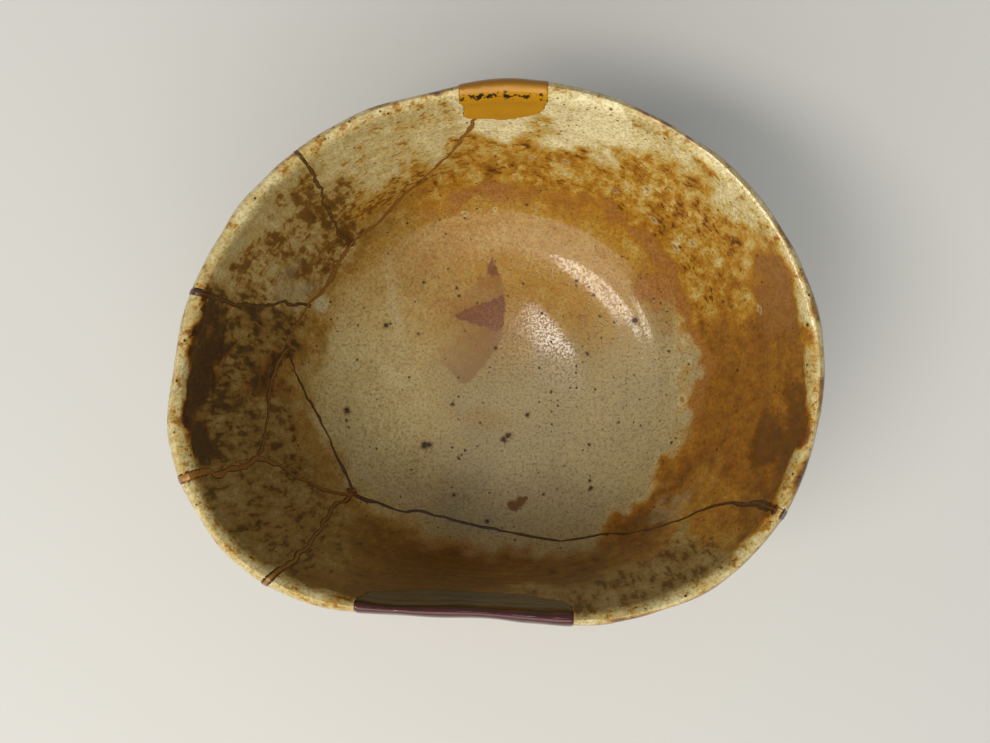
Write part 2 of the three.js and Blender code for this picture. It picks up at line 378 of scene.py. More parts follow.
def pick(*pieces: bpy.types.Object) -> None:
    """Selects these pieces and nothing else, the first as the active one."""
    bpy.ops.object.select_all(action="DESELECT")
    for piece in pieces:
        piece.select_set(True)
    bpy.context.view_layer.objects.active = pieces[0]


def coordinates(piece: bpy.types.Object) -> np.ndarray:
    """The vertices of a piece, one row each."""
    flat = np.empty(len(piece.data.vertices) * 3, np.float32)
    piece.data.vertices.foreach_get("co", flat)
    return flat.reshape(-1, 3).astype(float)


def move_to(piece: bpy.types.Object, points: np.ndarray) -> None:
    """Puts the vertices of a piece at these places."""
    piece.data.vertices.foreach_set("co", points.astype(np.float32).ravel())
    piece.data.update()


def modify(piece: bpy.types.Object, kind: str, **settings: Any) -> None:
    """Adds a modifier to a piece and applies it.

    Args:
        piece: the piece.
        kind: the modifier's type.
        settings: its settings.
    """
    modifier = piece.modifiers.new(kind.lower(), kind)
    for name, value in settings.items():
        setattr(modifier, name, value)
    pick(piece)
    bpy.ops.object.modifier_apply(modifier=modifier.name)


def combine(piece: bpy.types.Object, other: bpy.types.Object, operation: str) -> None:
    """Joins, cuts or intersects a piece with another, which is used up."""
    modify(piece, "BOOLEAN", object=other, operation=operation, solver="MANIFOLD")
    bpy.data.objects.remove(other)


def write_attribute(piece: bpy.types.Object, name: str, values: np.ndarray) -> None:
    """Stores one number for each vertex of a piece under a name."""
    attribute = piece.data.attributes.get(name) or piece.data.attributes.new(name, "FLOAT", "POINT")
    attribute.data.foreach_set("value", values.astype(np.float32))


def tidy(piece: bpy.types.Object, doubles: float = 1e-6) -> None:
    """Merges the doubles of a closed piece and turns its faces outwards."""
    pick(piece)
    bpy.ops.object.mode_set(mode="EDIT")
    bpy.ops.mesh.select_all(action="SELECT")
    bpy.ops.mesh.remove_doubles(threshold=doubles)
    bpy.ops.mesh.normals_make_consistent(inside=False)
    bpy.ops.object.mode_set(mode="OBJECT")


def finish_piece(piece: bpy.types.Object, finish: bpy.types.Material,
                 nodes: Sequence[str]) -> None:
    """Dresses a piece, smooths its shading and hands it to the frame.

    Args:
        piece: the piece, in its place.
        finish: its material.
        nodes: the nodes of the frame that it stands for.
    """
    pick(piece)
    bpy.ops.object.shade_smooth_by_angle(angle=math.radians(38))
    piece.data.materials.clear()
    piece.data.materials.append(finish)
    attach(piece, "root")
    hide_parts(*nodes)
    LOG.info("%s: %d faces", piece.name, len(piece.data.polygons))


# ---- The breaks -------------------------------------------------------------------------------------

PAST_LIP = 1.35  # a reach that is clear above the lip


@dataclass(frozen=True)
class Seam:
    """One break with its lacquer: a route as (degrees, reach, width in mm), and how warm the gold is."""

    name: str
    route: tuple[tuple[float, float, float], ...]
    warmth: float = 0.5
    step: float = 0.6
    wander: float = 0.28

    def stations(self, form: BowlForm) -> tuple[np.ndarray, np.ndarray, np.ndarray]:
        """The angle in radians, the reach and the width in mm at even steps along the seam."""
        route = np.array(self.route) * (math.pi / 180, 1, 1)
        dense = through(route, np.linspace(0, 1, 400))
        places = form.face(Side.INNER, dense[:, 0], dense[:, 1]) / MM
        share = even_shares(places, self.step)
        angle, reach, width = through(route, share).T
        here = form.face(Side.INNER, angle, reach) / MM
        seed = sum(map(ord, self.name))
        shake = [self.wander * (ripples(here, 7, seed + k) + 0.4 * ripples(here, 2.4,
                                                                           seed + 5 + k)) for k in (0, 1)]
        radius = np.hypot(here[:, 0], here[:, 1])
        width = np.maximum(width * (1 + 0.16 * ripples(here, 3.5, seed + 9)), 0.35)
        return angle + shake[0] / radius, reach + shake[1] / 115, width

    def reaches_lip(self) -> bool:
        """Whether the break runs out through the lip."""
        return self.route[0][1] > 1 or self.route[-1][1] > 1


SEAMS = (
    Seam("long_back", (
        (93, 0.96, 1.0), (102, 0.8, 1.0), (111, 0.675, 1.1), (121.5, 0.605, 1.2), (129.5, 0.565, 1.5),
        (138.5, 0.575, 1.9), (147.5, 0.55, 1.9), (156, 0.555, 1.4), (161, 0.59, 1.1), (170, 0.63, 1.1),
        (173.5, 0.63, 1.1)), warmth=0.8),
    Seam("floor_left", (
        (173, 0.64, 1.0), (182.5, 0.555, 0.8), (188.5, 0.505, 0.8), (195, 0.47, 0.8), (203, 0.458, 0.8),
        (212, 0.468, 0.9), (220.5, 0.49, 1.2)), warmth=0.15),
    Seam("left_inner", (
        (172.5, 0.62, 1.1), (177, 0.66, 1.4), (183.5, 0.695, 1.6), (190, 0.715, 1.3), (195, 0.74, 1.1),
        (200.5, 0.79, 1.1)), warmth=0.45),
    Seam("left_low", (
        (200.5, PAST_LIP, 2.6), (200.8, 1.0, 2.2), (201.5, 0.955, 1.9), (201.5, 0.855, 1.6),
        (200.5, 0.782, 1.5),
        (204.5, 0.72, 1.2), (213.5, 0.608, 1.3), (218, 0.54, 1.1), (220.5, 0.475, 1.2)), warmth=0.7),
    Seam("front_left", (
        (224, PAST_LIP, 2.0), (224, 1.0, 1.7), (224, 0.9, 1.3), (221.5, 0.73, 1.1), (219.5, 0.6, 1.1),
        (220, 0.475, 1.3)), warmth=0.5),
    Seam("front_floor", (
        (218, 0.5, 1.6), (223.5, 0.473, 1.3), (231, 0.435, 0.9), (240.5, 0.385, 0.8), (251, 0.365, 0.8),
        (262, 0.375, 0.8), (274.5, 0.393, 0.8), (282.5, 0.435, 0.8), (295, 0.495, 0.8), (304, 0.545, 0.8),
        (313, 0.66, 0.8), (326, 0.82, 0.9), (330, 0.915, 1.3), (331.5, 1.0, 2.4), (332.3, PAST_LIP, 2.8)),
        warmth=0.1),
    Seam("back_left", (
        (134, PAST_LIP, 0.9), (134.5, 1.0, 0.9), (135.5, 0.89, 1.0), (138.5, 0.68, 1.1),
        (139, 0.56, 1.0)), warmth=0.2),
    Seam("left_high", (
        (166.7, PAST_LIP, 1.2), (167, 0.98, 1.2), (166.5, 0.86, 1.1), (163, 0.723, 1.0),
        (160, 0.57, 1.0)), warmth=0.1),
)


@dataclass(frozen=True)
class Chip:
    """A chip lost from the lip: the angle that it faces, and its lower edge as (across, height) in mm."""

    name: str
    angle: float
    edge: tuple[tuple[float, float], ...]
    ragged: float = 0.18
    near: float = 28.0
    far: float = 76.0
    step: float = 0.5

    def outline(self) -> np.ndarray:
        """The edge of the loss, smooth below and a little ragged, one row of across and height each."""
        corners = np.array(self.edge)
        dense = through(corners[1:-1], np.linspace(0, 1, 400))
        share = even_shares(dense, self.step)
        edge = through(corners[1:-1], share)
        along = np.gradient(edge, axis=0)
        out = np.column_stack([along[:, 1], -along[:, 0]]) / np.linalg.norm(along, axis=1, keepdims=True)
        edge += out * self.ragged * (ripples(edge, 5, 31) + 0.5 * ripples(edge, 1.8, 32))[:, None]
        return np.vstack([corners[:1], edge, corners[-1:]])

    def basis(self) -> tuple[np.ndarray, np.ndarray, np.ndarray]:
        """The across, up and outward directions of the chip."""
        facing = math.radians(self.angle)
        out = np.array([math.cos(facing), math.sin(facing), 0.0])
        return np.array([-out[1], out[0], 0.0]), np.array([0.0, 0.0, 1.0]), out

    def block(self, form: BowlForm) -> bpy.types.Object:
        """The block of wall that the chip took away, as a solid in its place."""
        edge = self.outline()
        across, up, away = self.basis()
        bpy.ops.mesh.primitive_circle_add(vertices=len(edge), radius=0.01, fill_type="NGON")
        block = bpy.context.active_object
        block.name = self.name
        points = edge[:, :1] * across + edge[:, 1:] * up + self.near * away + (*form.pressing.axis, 0)
        move_to(block, points * MM)
        pick(block)
        bpy.ops.object.mode_set(mode="EDIT")
        bpy.ops.mesh.select_all(action="SELECT")
        reach = (self.far - self.near) * MM * away
        bpy.ops.mesh.extrude_region_move(TRANSFORM_OT_translate={"value": tuple(reach)})
        bpy.ops.object.mode_set(mode="OBJECT")
        tidy(block)
        return block

    def edge_distance(self, form: BowlForm, placed: np.ndarray) -> np.ndarray:
        """How far inside the edge of the loss each place lies, in mm."""
        across, up, _ = self.basis()
        local = placed / MM - (*form.pressing.axis, 0)
        flat = np.column_stack([local @ across, local @ up])
        edge = self.outline()
        return np.sqrt(((flat[:, None, :] - edge[None, :, :]) ** 2).sum(axis=2).min(axis=1))


GOLD_CHIP = Chip("gold_chip", 89.3, (
    (-9.7, 80), (-9.6, 72), (-9.3, 67.4), (-7.6, 63.4), (-4.1, 60.4), (0.1, 59.2), (4.6, 60.4), (7.2, 61.4),
    (8.3, 64), (8.7, 72), (8.9, 80)))
DARK_CHIP = Chip("dark_chip", 270.0, (
    (-29.4, 80), (-29.1, 72.5), (-26.7, 65.8), (-20.9, 61.8), (-12, 60.1), (-2, 60.3), (5, 61.3),
    (11, 64.2),
    (14.5, 66.8), (15.1, 72), (15.2, 80)), ragged=0.1)


# ---- The finishes -----------------------------------------------------------------------------------


def linear(colour: str) -> tuple[float, float, float, float]:
    """An sRGB hex colour as linear red, green, blue and alpha."""
    parts = [int(colour[i:i + 2], 16) / 255 for i in (1, 3, 5)]
    return (*(c / 12.92 if c <= 0.04045 else ((c + 0.055) / 1.055) ** 2.4 for c in parts), 1.0)


def per(size_mm: float) -> float:
    """The scale of a pattern on coordinates in metres whose features are this many mm across."""
    return 1 / (size_mm * MM)


class Recipe:
    """A finish being mixed: its material, and the one method that adds a node."""

    def __init__(self, name: str) -> None:
        """Starts an empty material under a name."""
        self.material = bpy.data.materials.new(name)
        self.material.use_nodes = True
        self.tree = self.material.node_tree
        self.tree.nodes.clear()

    def put(self, kind: str, inputs: dict[Any, Any] | None = None, out: Any = 0, **settings: Any) -> Any:
        """Adds a node with its settings and its inputs.

        Args:
            kind: the node's type, without the words that all types start with.
            inputs: for each input, by name or number, a value, a hex colour or the socket that feeds it.
            out: the output that is wanted, by name or number.
            settings: the node's own settings.

        Returns:
            The wanted output, or None where the node has none.
        """
        node = self.tree.nodes.new("ShaderNode" + kind)
        for name, value in settings.items():
            setattr(node, name, value)
        for name, value in (inputs or {}).items():
            if isinstance(value, bpy.types.NodeSocket):
                self.tree.links.new(value, node.inputs[name])
            else:
                node.inputs[name].default_value = linear(value) if isinstance(value, str) else value
        return node.outputs[out] if len(node.outputs) else None


@dataclass(frozen=True)
class Band:
    """A soft-edged patch of the skin between two angles in degrees and two courses."""

    angles: tuple[float, float]
    courses: tuple[float, float]
    fade: tuple[float, float] = (12.0, 0.08)

    def cover(self, degrees: np.ndarray, course: np.ndarray, flat: np.ndarray) -> np.ndarray:
        """How much of the patch lies at each place, from 0 to 1."""
        middle, half = sum(self.angles) / 2, (self.angles[1] - self.angles[0]) / 2
        off = np.abs((degrees - middle + 180) % 360 - 180)
        round_share = 1.0 if half >= 180 else 1 - smooth(off, half - self.fade[0] / 2,
                                                         half + self.fade[0] / 2)
        (low, high), soft = self.courses, self.fade[1] / 2
        return round_share * smooth(course, low - soft,
                                    low + soft) * (1 - smooth(course, high - soft, high + soft))


@dataclass(frozen=True)
class Oval:
    """A soft-edged oval patch of the floor, in mm from the throwing axis and degrees."""

    middle: tuple[float, float]
    radii: tuple[float, float]
    turn: float = 0.0
    fade: float = 0.35

    def cover(self, degrees: np.ndarray, course: np.ndarray, flat: np.ndarray) -> np.ndarray:
        """How much of the patch lies at each place, from 0 to 1."""
        c, s = math.cos(math.radians(self.turn)), math.sin(math.radians(self.turn))
        dx, dy = flat[:, 0] - self.middle[0], flat[:, 1] - self.middle[1]
        off = np.hypot((dx * c + dy * s) / self.radii[0], (dy * c - dx * s) / self.radii[1])
        return (1 - smooth(off, 1 - self.fade, 1 + self.fade)) * (course < 0.9)


@dataclass(frozen=True)
class Coat:
    """What the fire left in one patch of the glaze, or painted light or shade laid over it. A tone that isn't
    given stays as it is.

    Args:
        patch: where it lies.
        iron: how much iron came through, from 0, cream, by ochre and rust to 1, nearly black. Where a patch
            paints light or shade, it sets how pale or dark.
        breaking: how strongly the iron gathers in mottles and streaks.
        dashes: how many brown dashes of iron lie in it.
        grey: how grey and cool the glaze is.
        pink: how far it flashes pink.
        pool: how far it is the clear grey-green pool of the floor.
        veil: how much pale, milky glaze floats over it.
        gloss: how smooth and wet it lies.
        clay: how far the clay is bare.
    """

    patch: Band | Oval
    iron: float | None = None
    breaking: float | None = None
    dashes: float | None = None
    grey: float | None = None
    pink: float | None = None
    pool: float | None = None
    veil: float | None = None
    gloss: float | None = None
    clay: float | None = None


TONES = ("iron", "breaking", "dashes", "grey", "pink", "pool", "veil", "gloss", "clay")


@dataclass(frozen=True)
class GlazeMap:
    """Where each tone of the glaze lies on the bowl: coats in the order in which they cover each other."""

    waver: float = 0.028
    coats: tuple[Coat, ...] = (
        # The floor: a clear pool in front, ochre behind, and painted light at the left front.
        Coat(Band((-180, 180), (-1, 4)), iron=0.3, breaking=0.2, dashes=0.0, grey=0.45, pool=1.0),
        Coat(Oval((-2, 34), (54, 30), 0, 0.5), pool=0.0, iron=0.36, breaking=0.2, grey=0.5),
        Coat(Oval((14, 38), (34, 24), -20, 0.5), iron=0.34, grey=0.25),
        # Painted light: the floor's left front is painted paler, to lift the shade that the steep left wall
        # casts on it.
        Coat(Oval((-40, -16), (26, 36), 0, 0.6), pool=0.1, iron=0.12, grey=0.4),
        Coat(Oval((-3, -11), (9, 3), -15, 0.6), pool=0.6, iron=0.4),
        Coat(Oval((-26.5, 18), (1.8, 13), 8, 0.7), veil=0.35),
        Coat(Oval((-44, 17.5), (1.6, 2.2), -20, 0.25), veil=0.8),
        Coat(Oval((24, 20), (30, 24), 0, 0.3), gloss=1.0),
        # The wall, from the right round by the back.
        Coat(Band((-60, 120), (0.5, 1.6), (16, 0.08)), pool=0.0, iron=0.36, breaking=0.5, grey=0.0),
        Coat(Band((120, 240), (0.48, 1.6), (24, 0.14)), pool=0.0, iron=0.36, breaking=0.5, grey=0.6),
        Coat(Band((-66, 22), (0.465, 0.535), (16, 0.04)), iron=0.32, breaking=0.3, veil=0.35, grey=0.2),
        Coat(Band((8, 112), (0.6, 0.9), (14, 0.08)), iron=0.37, breaking=0.8, dashes=0.3),
        Coat(Band((30, 100), (0.8, 0.92), (16, 0.06)), iron=0.36, breaking=1.0, dashes=0.42),
        Coat(Band((18, 78), (0.93, 1.6), (12, 0.08)), iron=0.05, breaking=0.4, dashes=0.3),
        Coat(Band((60, 106), (0.86, 1.6), (14, 0.1)), iron=-0.06, breaking=0.3, dashes=0.2),
        Coat(Band((98, 140), (0.76, 1.6), (10, 0.1)), iron=0.12, breaking=0.35, dashes=0.42, grey=0.2),
        Coat(Band((108, 142), (0.6, 0.78), (12, 0.08)), iron=0.3, breaking=0.5, dashes=0.66, grey=0.15),
        Coat(Band((133, 169), (0.56, 1.6), (6, 0.06)), iron=0.3, breaking=0.6, dashes=0.72, grey=0.65),
        Coat(Band((136, 166), (0.93, 1.6), (6, 0.06)), iron=0.2, breaking=0.5, dashes=0.35, grey=0.6),
        Coat(Band((165, 203), (0.6, 1.6), (4, 0.06)), iron=0.45, breaking=0.8, dashes=0.62, grey=0.85),
        # Dark iron glaze just under the lip on the shaded left wall, made darker still with painted shade
        # under the lip.
        Coat(Band((168, 200), (0.93, 1.6), (4, 0.05)), iron=0.88, breaking=0.6, dashes=0.8, grey=0.1),
        Coat(Band((198, 242), (0.5, 1.6), (6, 0.1)), iron=0.36, breaking=0.6, dashes=0.5, grey=0.85),
        Coat(Band((178, 226), (0.47, 0.62), (14, 0.08)), iron=0.3, breaking=0.35, dashes=0.2, grey=0.6),
        Coat(Band((173, 188), (0.64, 0.75), (6, 0.08)), iron=0.66, breaking=0.2, grey=0.2),
        Coat(Band((187, 198), (0.64, 0.78), (6, 0.06)), iron=0.34, breaking=0.4, grey=0.8),
        # The smooth iron of the front, the right wall and the curl round the floor.
        Coat(Band((234, 286), (0.5, 1.6), (24, 0.2)), iron=0.62, breaking=0.15, dashes=0.1, grey=0.55,
             pool=0.0),
        Coat(Band((262, 282), (0.92, 1.6), (10, 0.08)), iron=0.4, breaking=0.5, dashes=0.4, grey=0.6),
        Coat(Band((-96, -46), (0.54, 0.84), (30, 0.24)), iron=0.52, breaking=0.4, dashes=0.35, grey=0.65,
             pool=0.0),
        Coat(Band((-86, -31), (0.82, 1.6), (8, 0.1)), iron=0.3, breaking=0.5, dashes=0.55, grey=0.85,
             pool=0.0),
        Coat(Band((-34, 13), (0.56, 1.6), (12, 0.1)), iron=0.54, breaking=0.25, dashes=0.0, grey=0.0),
        Coat(Band((-52, -24), (0.54, 0.7), (18, 0.1)), iron=0.62, breaking=0.3, grey=0.2),
        Coat(Band((-38, -26), (0.6, 1.0), (5, 0.1)), iron=0.42, breaking=0.4, grey=0.1),
        Coat(Band((-14, 66), (0.53, 0.62), (20, 0.06)), iron=0.5, breaking=0.15, pink=0.7, dashes=0.0),
        Coat(Band((55, 116), (0.48, 0.565), (24, 0.05)), iron=0.45, breaking=0.3, pink=0.4, dashes=0.0),
        Coat(Band((84, 106), (0.48, 0.55), (10, 0.04)), pink=0.85),
        Coat(Band((20, 32), (0.41, 0.55), (6, 0.06)), iron=0.52, pink=0.75, breaking=0.3),
        Coat(Band((-34, -18), (0.88, 1.6), (5, 0.06)), iron=0.56, breaking=0.4, pink=0.0),
        Coat(Band((-20, -7), (0.88, 1.6), (5, 0.06)), iron=0.72, breaking=0.25, pink=0.2),
        Coat(Band((4, 20), (0.87, 1.6), (8, 0.06)), iron=0.62, breaking=0.3, pink=0.6),
        Coat(Band((154, 163), (0.58, 0.8), (6, 0.1)), veil=0.5),
        Coat(Band((-44, -35), (0.6, 0.76), (6, 0.08)), veil=0.35),
        # The lip, with painted shade on its outer roll at the right and back, the outside and the bare foot.
        Coat(Band((-180, 180), (1.26, 3.2), (1, 0.14)), iron=0.14, breaking=0.5, dashes=0.5, grey=0.3,
             pink=0.0,
             gloss=1.0, veil=0.0, pool=0.0),
        # Painted shade: the outer roll of the lip is painted darker round the right and the back, the side
        # turned away from the lamps.
        Coat(Band((-75, 125), (1.72, 1.92), (30, 0.14)), iron=0.6, breaking=0.6, grey=0.5),
        Coat(Band((-180, 180), (1.95, 3.2), (1, 0.1)), iron=0.36, breaking=0.8, dashes=0.5, grey=0.2,
             gloss=0.4),
        Coat(Band((-180, 180), (2.0, 2.3), (1, 0.2)), iron=0.16, breaking=0.7, dashes=0.5, grey=0.25),
        Coat(Band((-180, 180), (2.3, 3.2), (1, 0.3)), iron=0.44, breaking=0.6, dashes=0.4, grey=0.0,
             gloss=0.2),
        Coat(Band((150, 290), (1.95, 3.2), (60, 0.3)), iron=0.5, breaking=0.7, grey=0.3),
        Coat(Band((-180, 180), (2.685, 3.2), (1, 0.03)), clay=1.0, gloss=0.0),
    )

    def paint(self, piece: bpy.types.Object, form: BowlForm) -> None:
        """Stores the tones on a piece of the bowl.

        Args:
            piece: the piece.
            form: the bowl's form.
        """
        placed = coordinates(piece)
        angle, course = form.locate(placed)
        flat = (placed / MM - (*form.pressing.axis, 0))[:, :2]
        thrown = form.pressing.thrown(placed) * (1, 1, 0.6)
        shift = [ripples(thrown, 13, 61 + k) + 0.5 * ripples(thrown, 4, 63 + k) for k in (0, 1)]
        inside = 1 - smooth(course, 1.6, 1.8)
        lip_share = 1 + 3 * smooth(course, 1.0, 1.15)  # the lip's courses are short
        degrees = np.degrees(angle) + shift[0] * self.waver * 70 * inside
        course = course + shift[1] * self.waver * lip_share * inside * smooth(course, 0.2, 0.5)
        tones = {tone: np.zeros(len(placed)) for tone in TONES}
        for coat in self.coats:
            cover = coat.patch.cover(degrees, course, flat)
            for tone in TONES:
                value = getattr(coat, tone)
                if value is not None:
                    tones[tone] += (value - tones[tone]) * cover
        for tone, values in tones.items():
            write_attribute(piece, tone, values)


@dataclass(frozen=True)
class Marks:
    """Single marks in the glaze, in mm: (x, y, radius) on the floor, (degrees, reach, radius) on the wall."""

    iron: tuple[tuple[float, float, float], ...] = (
        (-18.8, -17.8, 1.2), (-17.6, -17.7, 1.0), (1.6, -16.3, 1.1), (2.7, -15.3, 1.0), (-38.3, -9, 1.1),
        (-2.7, -37.2, 0.9), (-11.2, -30.6, 0.75), (23.6, -28.8, 0.85), (-11.7, -7.3, 0.6), (7.7, -10, 0.75),
        (-28.8, 13, 0.8), (-10.6, 22.9, 0.6), (-9.9, 20.8, 0.5), (-19.1, 24.2, 0.65), (23.2, 5.7, 0.65),
        (35.1, 14, 1.1), (24.7, 20.9, 0.6), (26.3, 15.5, 0.6), (-10, -21.2, 0.5), (-9.2, -20.3, 0.4),
        (-8.3, -19.2, 0.45), (23.5, -17.6, 0.5), (11.6, -30.3, 0.5), (-34, -34.1, 0.7), (34.9, 0.2, 0.4),
        (-28, 31, 0.4), (6.5, 24, 0.4), (20.3, 24.4, 0.5), (-36, 4, 0.5), (-31, -6, 0.35), (13.8, -4, 0.4),
        (-4.5, -12, 0.4), (17, -23, 0.35), (-22, -24, 0.4), (31, -12, 0.45),
    )
    amber: tuple[tuple[float, float, float], ...] = (
        (4.2, -33.3, 1.6), (5.8, -32.2, 1.5), (7, -31.5, 0.8), (3, -32.8, 0.8), (-38.2, -11.5, 0.6),
        (-37.6, -13.2, 0.5), (-38.4, -14.2, 0.4),
    )
    craters: tuple[tuple[float, float, float], ...] = (
        (352, 0.492, 1.5), (101.7, 0.425, 0.8), (91, 0.43, 0.6), (50, 0.8, 1.3), (44, 0.7, 1.4),
        (12, 0.88, 1.2),
        (72, 0.75, 1.3), (81, 0.745, 1.0), (57, 0.7, 1.3), (35, 0.68, 1.5), (33, 0.76, 1.2),
    )

    @staticmethod
    def on_floor(form: BowlForm, x: float, y: float) -> tuple[float, float, float]:
        """The place of a floor mark in the frame, in metres."""
        reach = np.linspace(0, 0.6, 200)
        flat = form.section.face(Side.INNER, reach)
        return (x + form.pressing.axis[0]) * MM, (y + form.pressing.axis[1]) * MM, float(
            np.interp(math.hypot(x, y), flat[:, 0], flat[:, 1])) * MM

    @staticmethod
    def on_wall(form: BowlForm, degrees: float, reach: float) -> tuple[float, float, float]:
        """The place of a wall mark in the frame, in metres."""
        return tuple(form.skin(np.array([math.radians(degrees)]), np.array([reach]))[0])


@dataclass(frozen=True)
class AshGlaze:
    """Wood-ash glaze, poured and fired in reduction over stoneware that is rich in iron.

    The ash lies as a glossy, grainy grey-green pool on the floor and breaks from cream to rust on the wall.
    Iron from the clay bleeds through it as specks, dashes and stains, and flashes pink where it is thin.
    """

    form: BowlForm
    marks: Marks = Marks()
    name: str = "ash_glaze_on_stoneware"
    iron: tuple[tuple[float, str], ...] = (
        (0.0, "#e6daaa"), (0.14, "#ccbc82"), (0.28, "#c2a458"), (0.4, "#b4862c"), (0.5, "#a3701f"),
        (0.58, "#925f1c"), (0.67, "#73460c"), (0.8, "#532e08"), (0.93, "#321806"),
    )
    greyed: tuple[tuple[float, str], ...] = (
        (0.0, "#b7ab82"), (0.2, "#a19266"), (0.4, "#826b38"), (0.6, "#63481a"), (0.8, "#47300c"),
        (0.95, "#2e1b08"),
    )
    pool: tuple[str, str] = ("#978c66", "#a99a70")
    pink: tuple[str, str] = ("#93602c", "#ab7b42")
    veil: tuple[str, str] = ("#b0aa84", "#c8c19c")
    clay: tuple[str, str] = ("#6e4f36", "#8f6f50")
    flash: tuple[str, str] = ("#744826", "#86572e")
    speck: str = "#36200c"
    halo: str = "#6f4a16"
    crater: str = "#d2bf8c"

    def _torn(self, mix: Recipe, share: Any, noise: Any, tear: float, soft: float) -> Any:
        """A share with its soft edge torn by noise.

        Args:
            mix: the finish being mixed.
            share: how much of the layer there is, from 0 to 1.
            noise: the noise that tears it.
            tear: how far the edge is torn, from 0 to 1.
            soft: how soft the torn edge is.

        Returns:
            The torn share.
        """
        edge = mix.put("Math", {0: share, 1: -1.0, 2: 1.0}, operation="MULTIPLY_ADD")
        edge = mix.put("Math", {0: edge, 1: share}, operation="MULTIPLY")
        swing = mix.put("Math", {0: noise, 1: 4 * tear, 2: -2 * tear}, operation="MULTIPLY_ADD")
        torn = mix.put("Math", {0: edge, 1: swing, 2: share}, operation="MULTIPLY_ADD")
        return mix.put("MapRange", {"Value": torn, "From Min": 0.5 - soft, "From Max": 0.5 + soft},
                       interpolation_type="SMOOTHSTEP")

    def _ramp(self, mix: Recipe, value: Any, stops: Sequence[tuple[float, str]]) -> Any:
        """The colour at a value between named stops."""
        colour = mix.put("ValToRGB", {0: value}, out="Color")
        ramp = colour.node.color_ramp
        for _ in stops[2:]:
            ramp.elements.new(0.5)
        for element, (place, shade) in zip(ramp.elements, stops):
            element.position, element.color = place, linear(shade)
        return colour

    def _lay(self, mix: Recipe, under: Any, pair: tuple[str, str], vary: Any, share: Any) -> Any:
        """Lays a colour that varies between two over what is under it."""
        over = mix.put("Mix", {0: vary, 6: pair[0], 7: pair[1]}, out=2, data_type="RGBA")
        return mix.put("Mix", {0: share, 6: under, 7: over}, out=2, data_type="RGBA")

    def _marks(self, mix: Recipe, spot: Any,
               places: Sequence[tuple[tuple[float, float, float], float]]) -> Any:
        """The distance to the nearest of some marks, counted in that mark's radius."""
        nearest = None
        for place, radius in places:
            off = mix.put("VectorMath", {0: spot, 1: place}, out="Value", operation="DISTANCE")
            off = mix.put("Math", {0: off, 1: radius * MM}, operation="DIVIDE")
            nearest = mix.put("Math", {0: nearest, 1: off}, operation="MINIMUM") if nearest else off
        return nearest

    def _flash(self, mix: Recipe, spot: Any, noise: Any, grain: Any) -> Any:
        """The pink flash on the floor: a solid wedge and a chip of one, and a speckled tail inside an arc."""
        ax, ay = self.form.pressing.axis
        flat = mix.put("VectorMath", {0: spot, 1: (1, 1, 0)}, operation="MULTIPLY")
        shake = mix.put("Math", {0: noise, 1: 0.0012, 2: -0.0006}, operation="MULTIPLY_ADD")
        off = mix.put("VectorMath", {0: flat, 1: ((ax - 22.4) * MM, (ay + 18) * MM, 0)}, out="Value",
                      operation="DISTANCE")
        off = mix.put("Math", {0: off, 1: shake}, operation="ADD")
        arc = mix.put("MapRange", {"Value": off, "From Min": 24.7 * MM, "From Max": 24.1 * MM})
        shapes = []
        for corners in (((-12, 15.5), (6, 23.4), (6, 14), (-1, 11.5)),
                        ((-3.2, 26), (-1.5, 32), (6, 31), (6, 25.5)),
                        ((-16, 15.5), (-4, 26), (6, 28), (6, -4), (-9, -2), (-15, 4))):
            share = arc
            for (x0, y0), (x1, y1) in zip(corners, corners[1:] + corners[:1]):
                long = math.hypot(x1 - x0, y1 - y0)
                inward = ((y1 - y0) / long, (x0 - x1) / long, 0)
                start = (x0 + ax) * inward[0] + (y0 + ay) * inward[1]
                depth = mix.put("VectorMath", {0: flat, 1: inward}, out="Value", operation="DOT_PRODUCT")
                depth = mix.put("Math", {0: depth, 1: shake}, operation="ADD")
                side = mix.put("MapRange", {"Value": depth, "From Min": (start - 0.25) * MM,
                                            "From Max": (start + 0.35) * MM})
                share = mix.put("Math", {0: share, 1: side}, operation="MULTIPLY")
            shapes.append(share)
        thin = mix.put("MapRange", {"Value": off, "From Min": 8 * MM, "From Max": 25 * MM, "To Min": 0.38,
                                    "To Max": 0.62})
        speckled = mix.put("Math", {0: thin, 1: grain}, operation="SUBTRACT")
        speckled = mix.put("MapRange", {"Value": speckled, "From Min": -0.06, "From Max": 0.1})
        tail = mix.put("Math", {0: speckled, 1: shapes[2]}, operation="MULTIPLY")
        tail = mix.put("Math", {0: tail, 1: 0.6}, operation="MULTIPLY")
        solid = mix.put("Math", {0: shapes[0], 1: shapes[1]}, operation="MAXIMUM")
        return mix.put("Math", {0: solid, 1: tail}, operation="MAXIMUM")

    def _speckle(self, mix: Recipe, spot: Any, cell_mm: float, low: float, high: float) -> tuple[Any, Any]:
        """Scattered round specks of many sizes.

        Args:
            mix: the finish being mixed.
            spot: the coordinates.
            cell_mm: the usual distance between two specks.
            low: the radius of the smallest, as a share of that distance. Below 0 some places stay empty.
            high: the radius of the largest.

        Returns:
            The share of dark speck, and of the halo round it.
        """
        cells = {"Vector": spot, "Scale": per(cell_mm)}
        off = mix.put("TexVoronoi", cells, out="Distance")
        luck = mix.put("SeparateColor", {0: mix.put("TexVoronoi", cells, out="Color")})
        luck = mix.put("Math", {0: luck, 1: 2.2}, operation="POWER")
        size = mix.put("MapRange", {"Value": luck, "To Min": low, "To Max": high})
        depth = mix.put("Math", {0: size, 1: off}, operation="SUBTRACT")
        speck = mix.put("MapRange", {"Value": depth, "From Min": -0.02, "From Max": 0.03})
        halo = mix.put("MapRange", {"Value": depth, "From Min": -0.1, "From Max": 0.0})
        return speck, halo

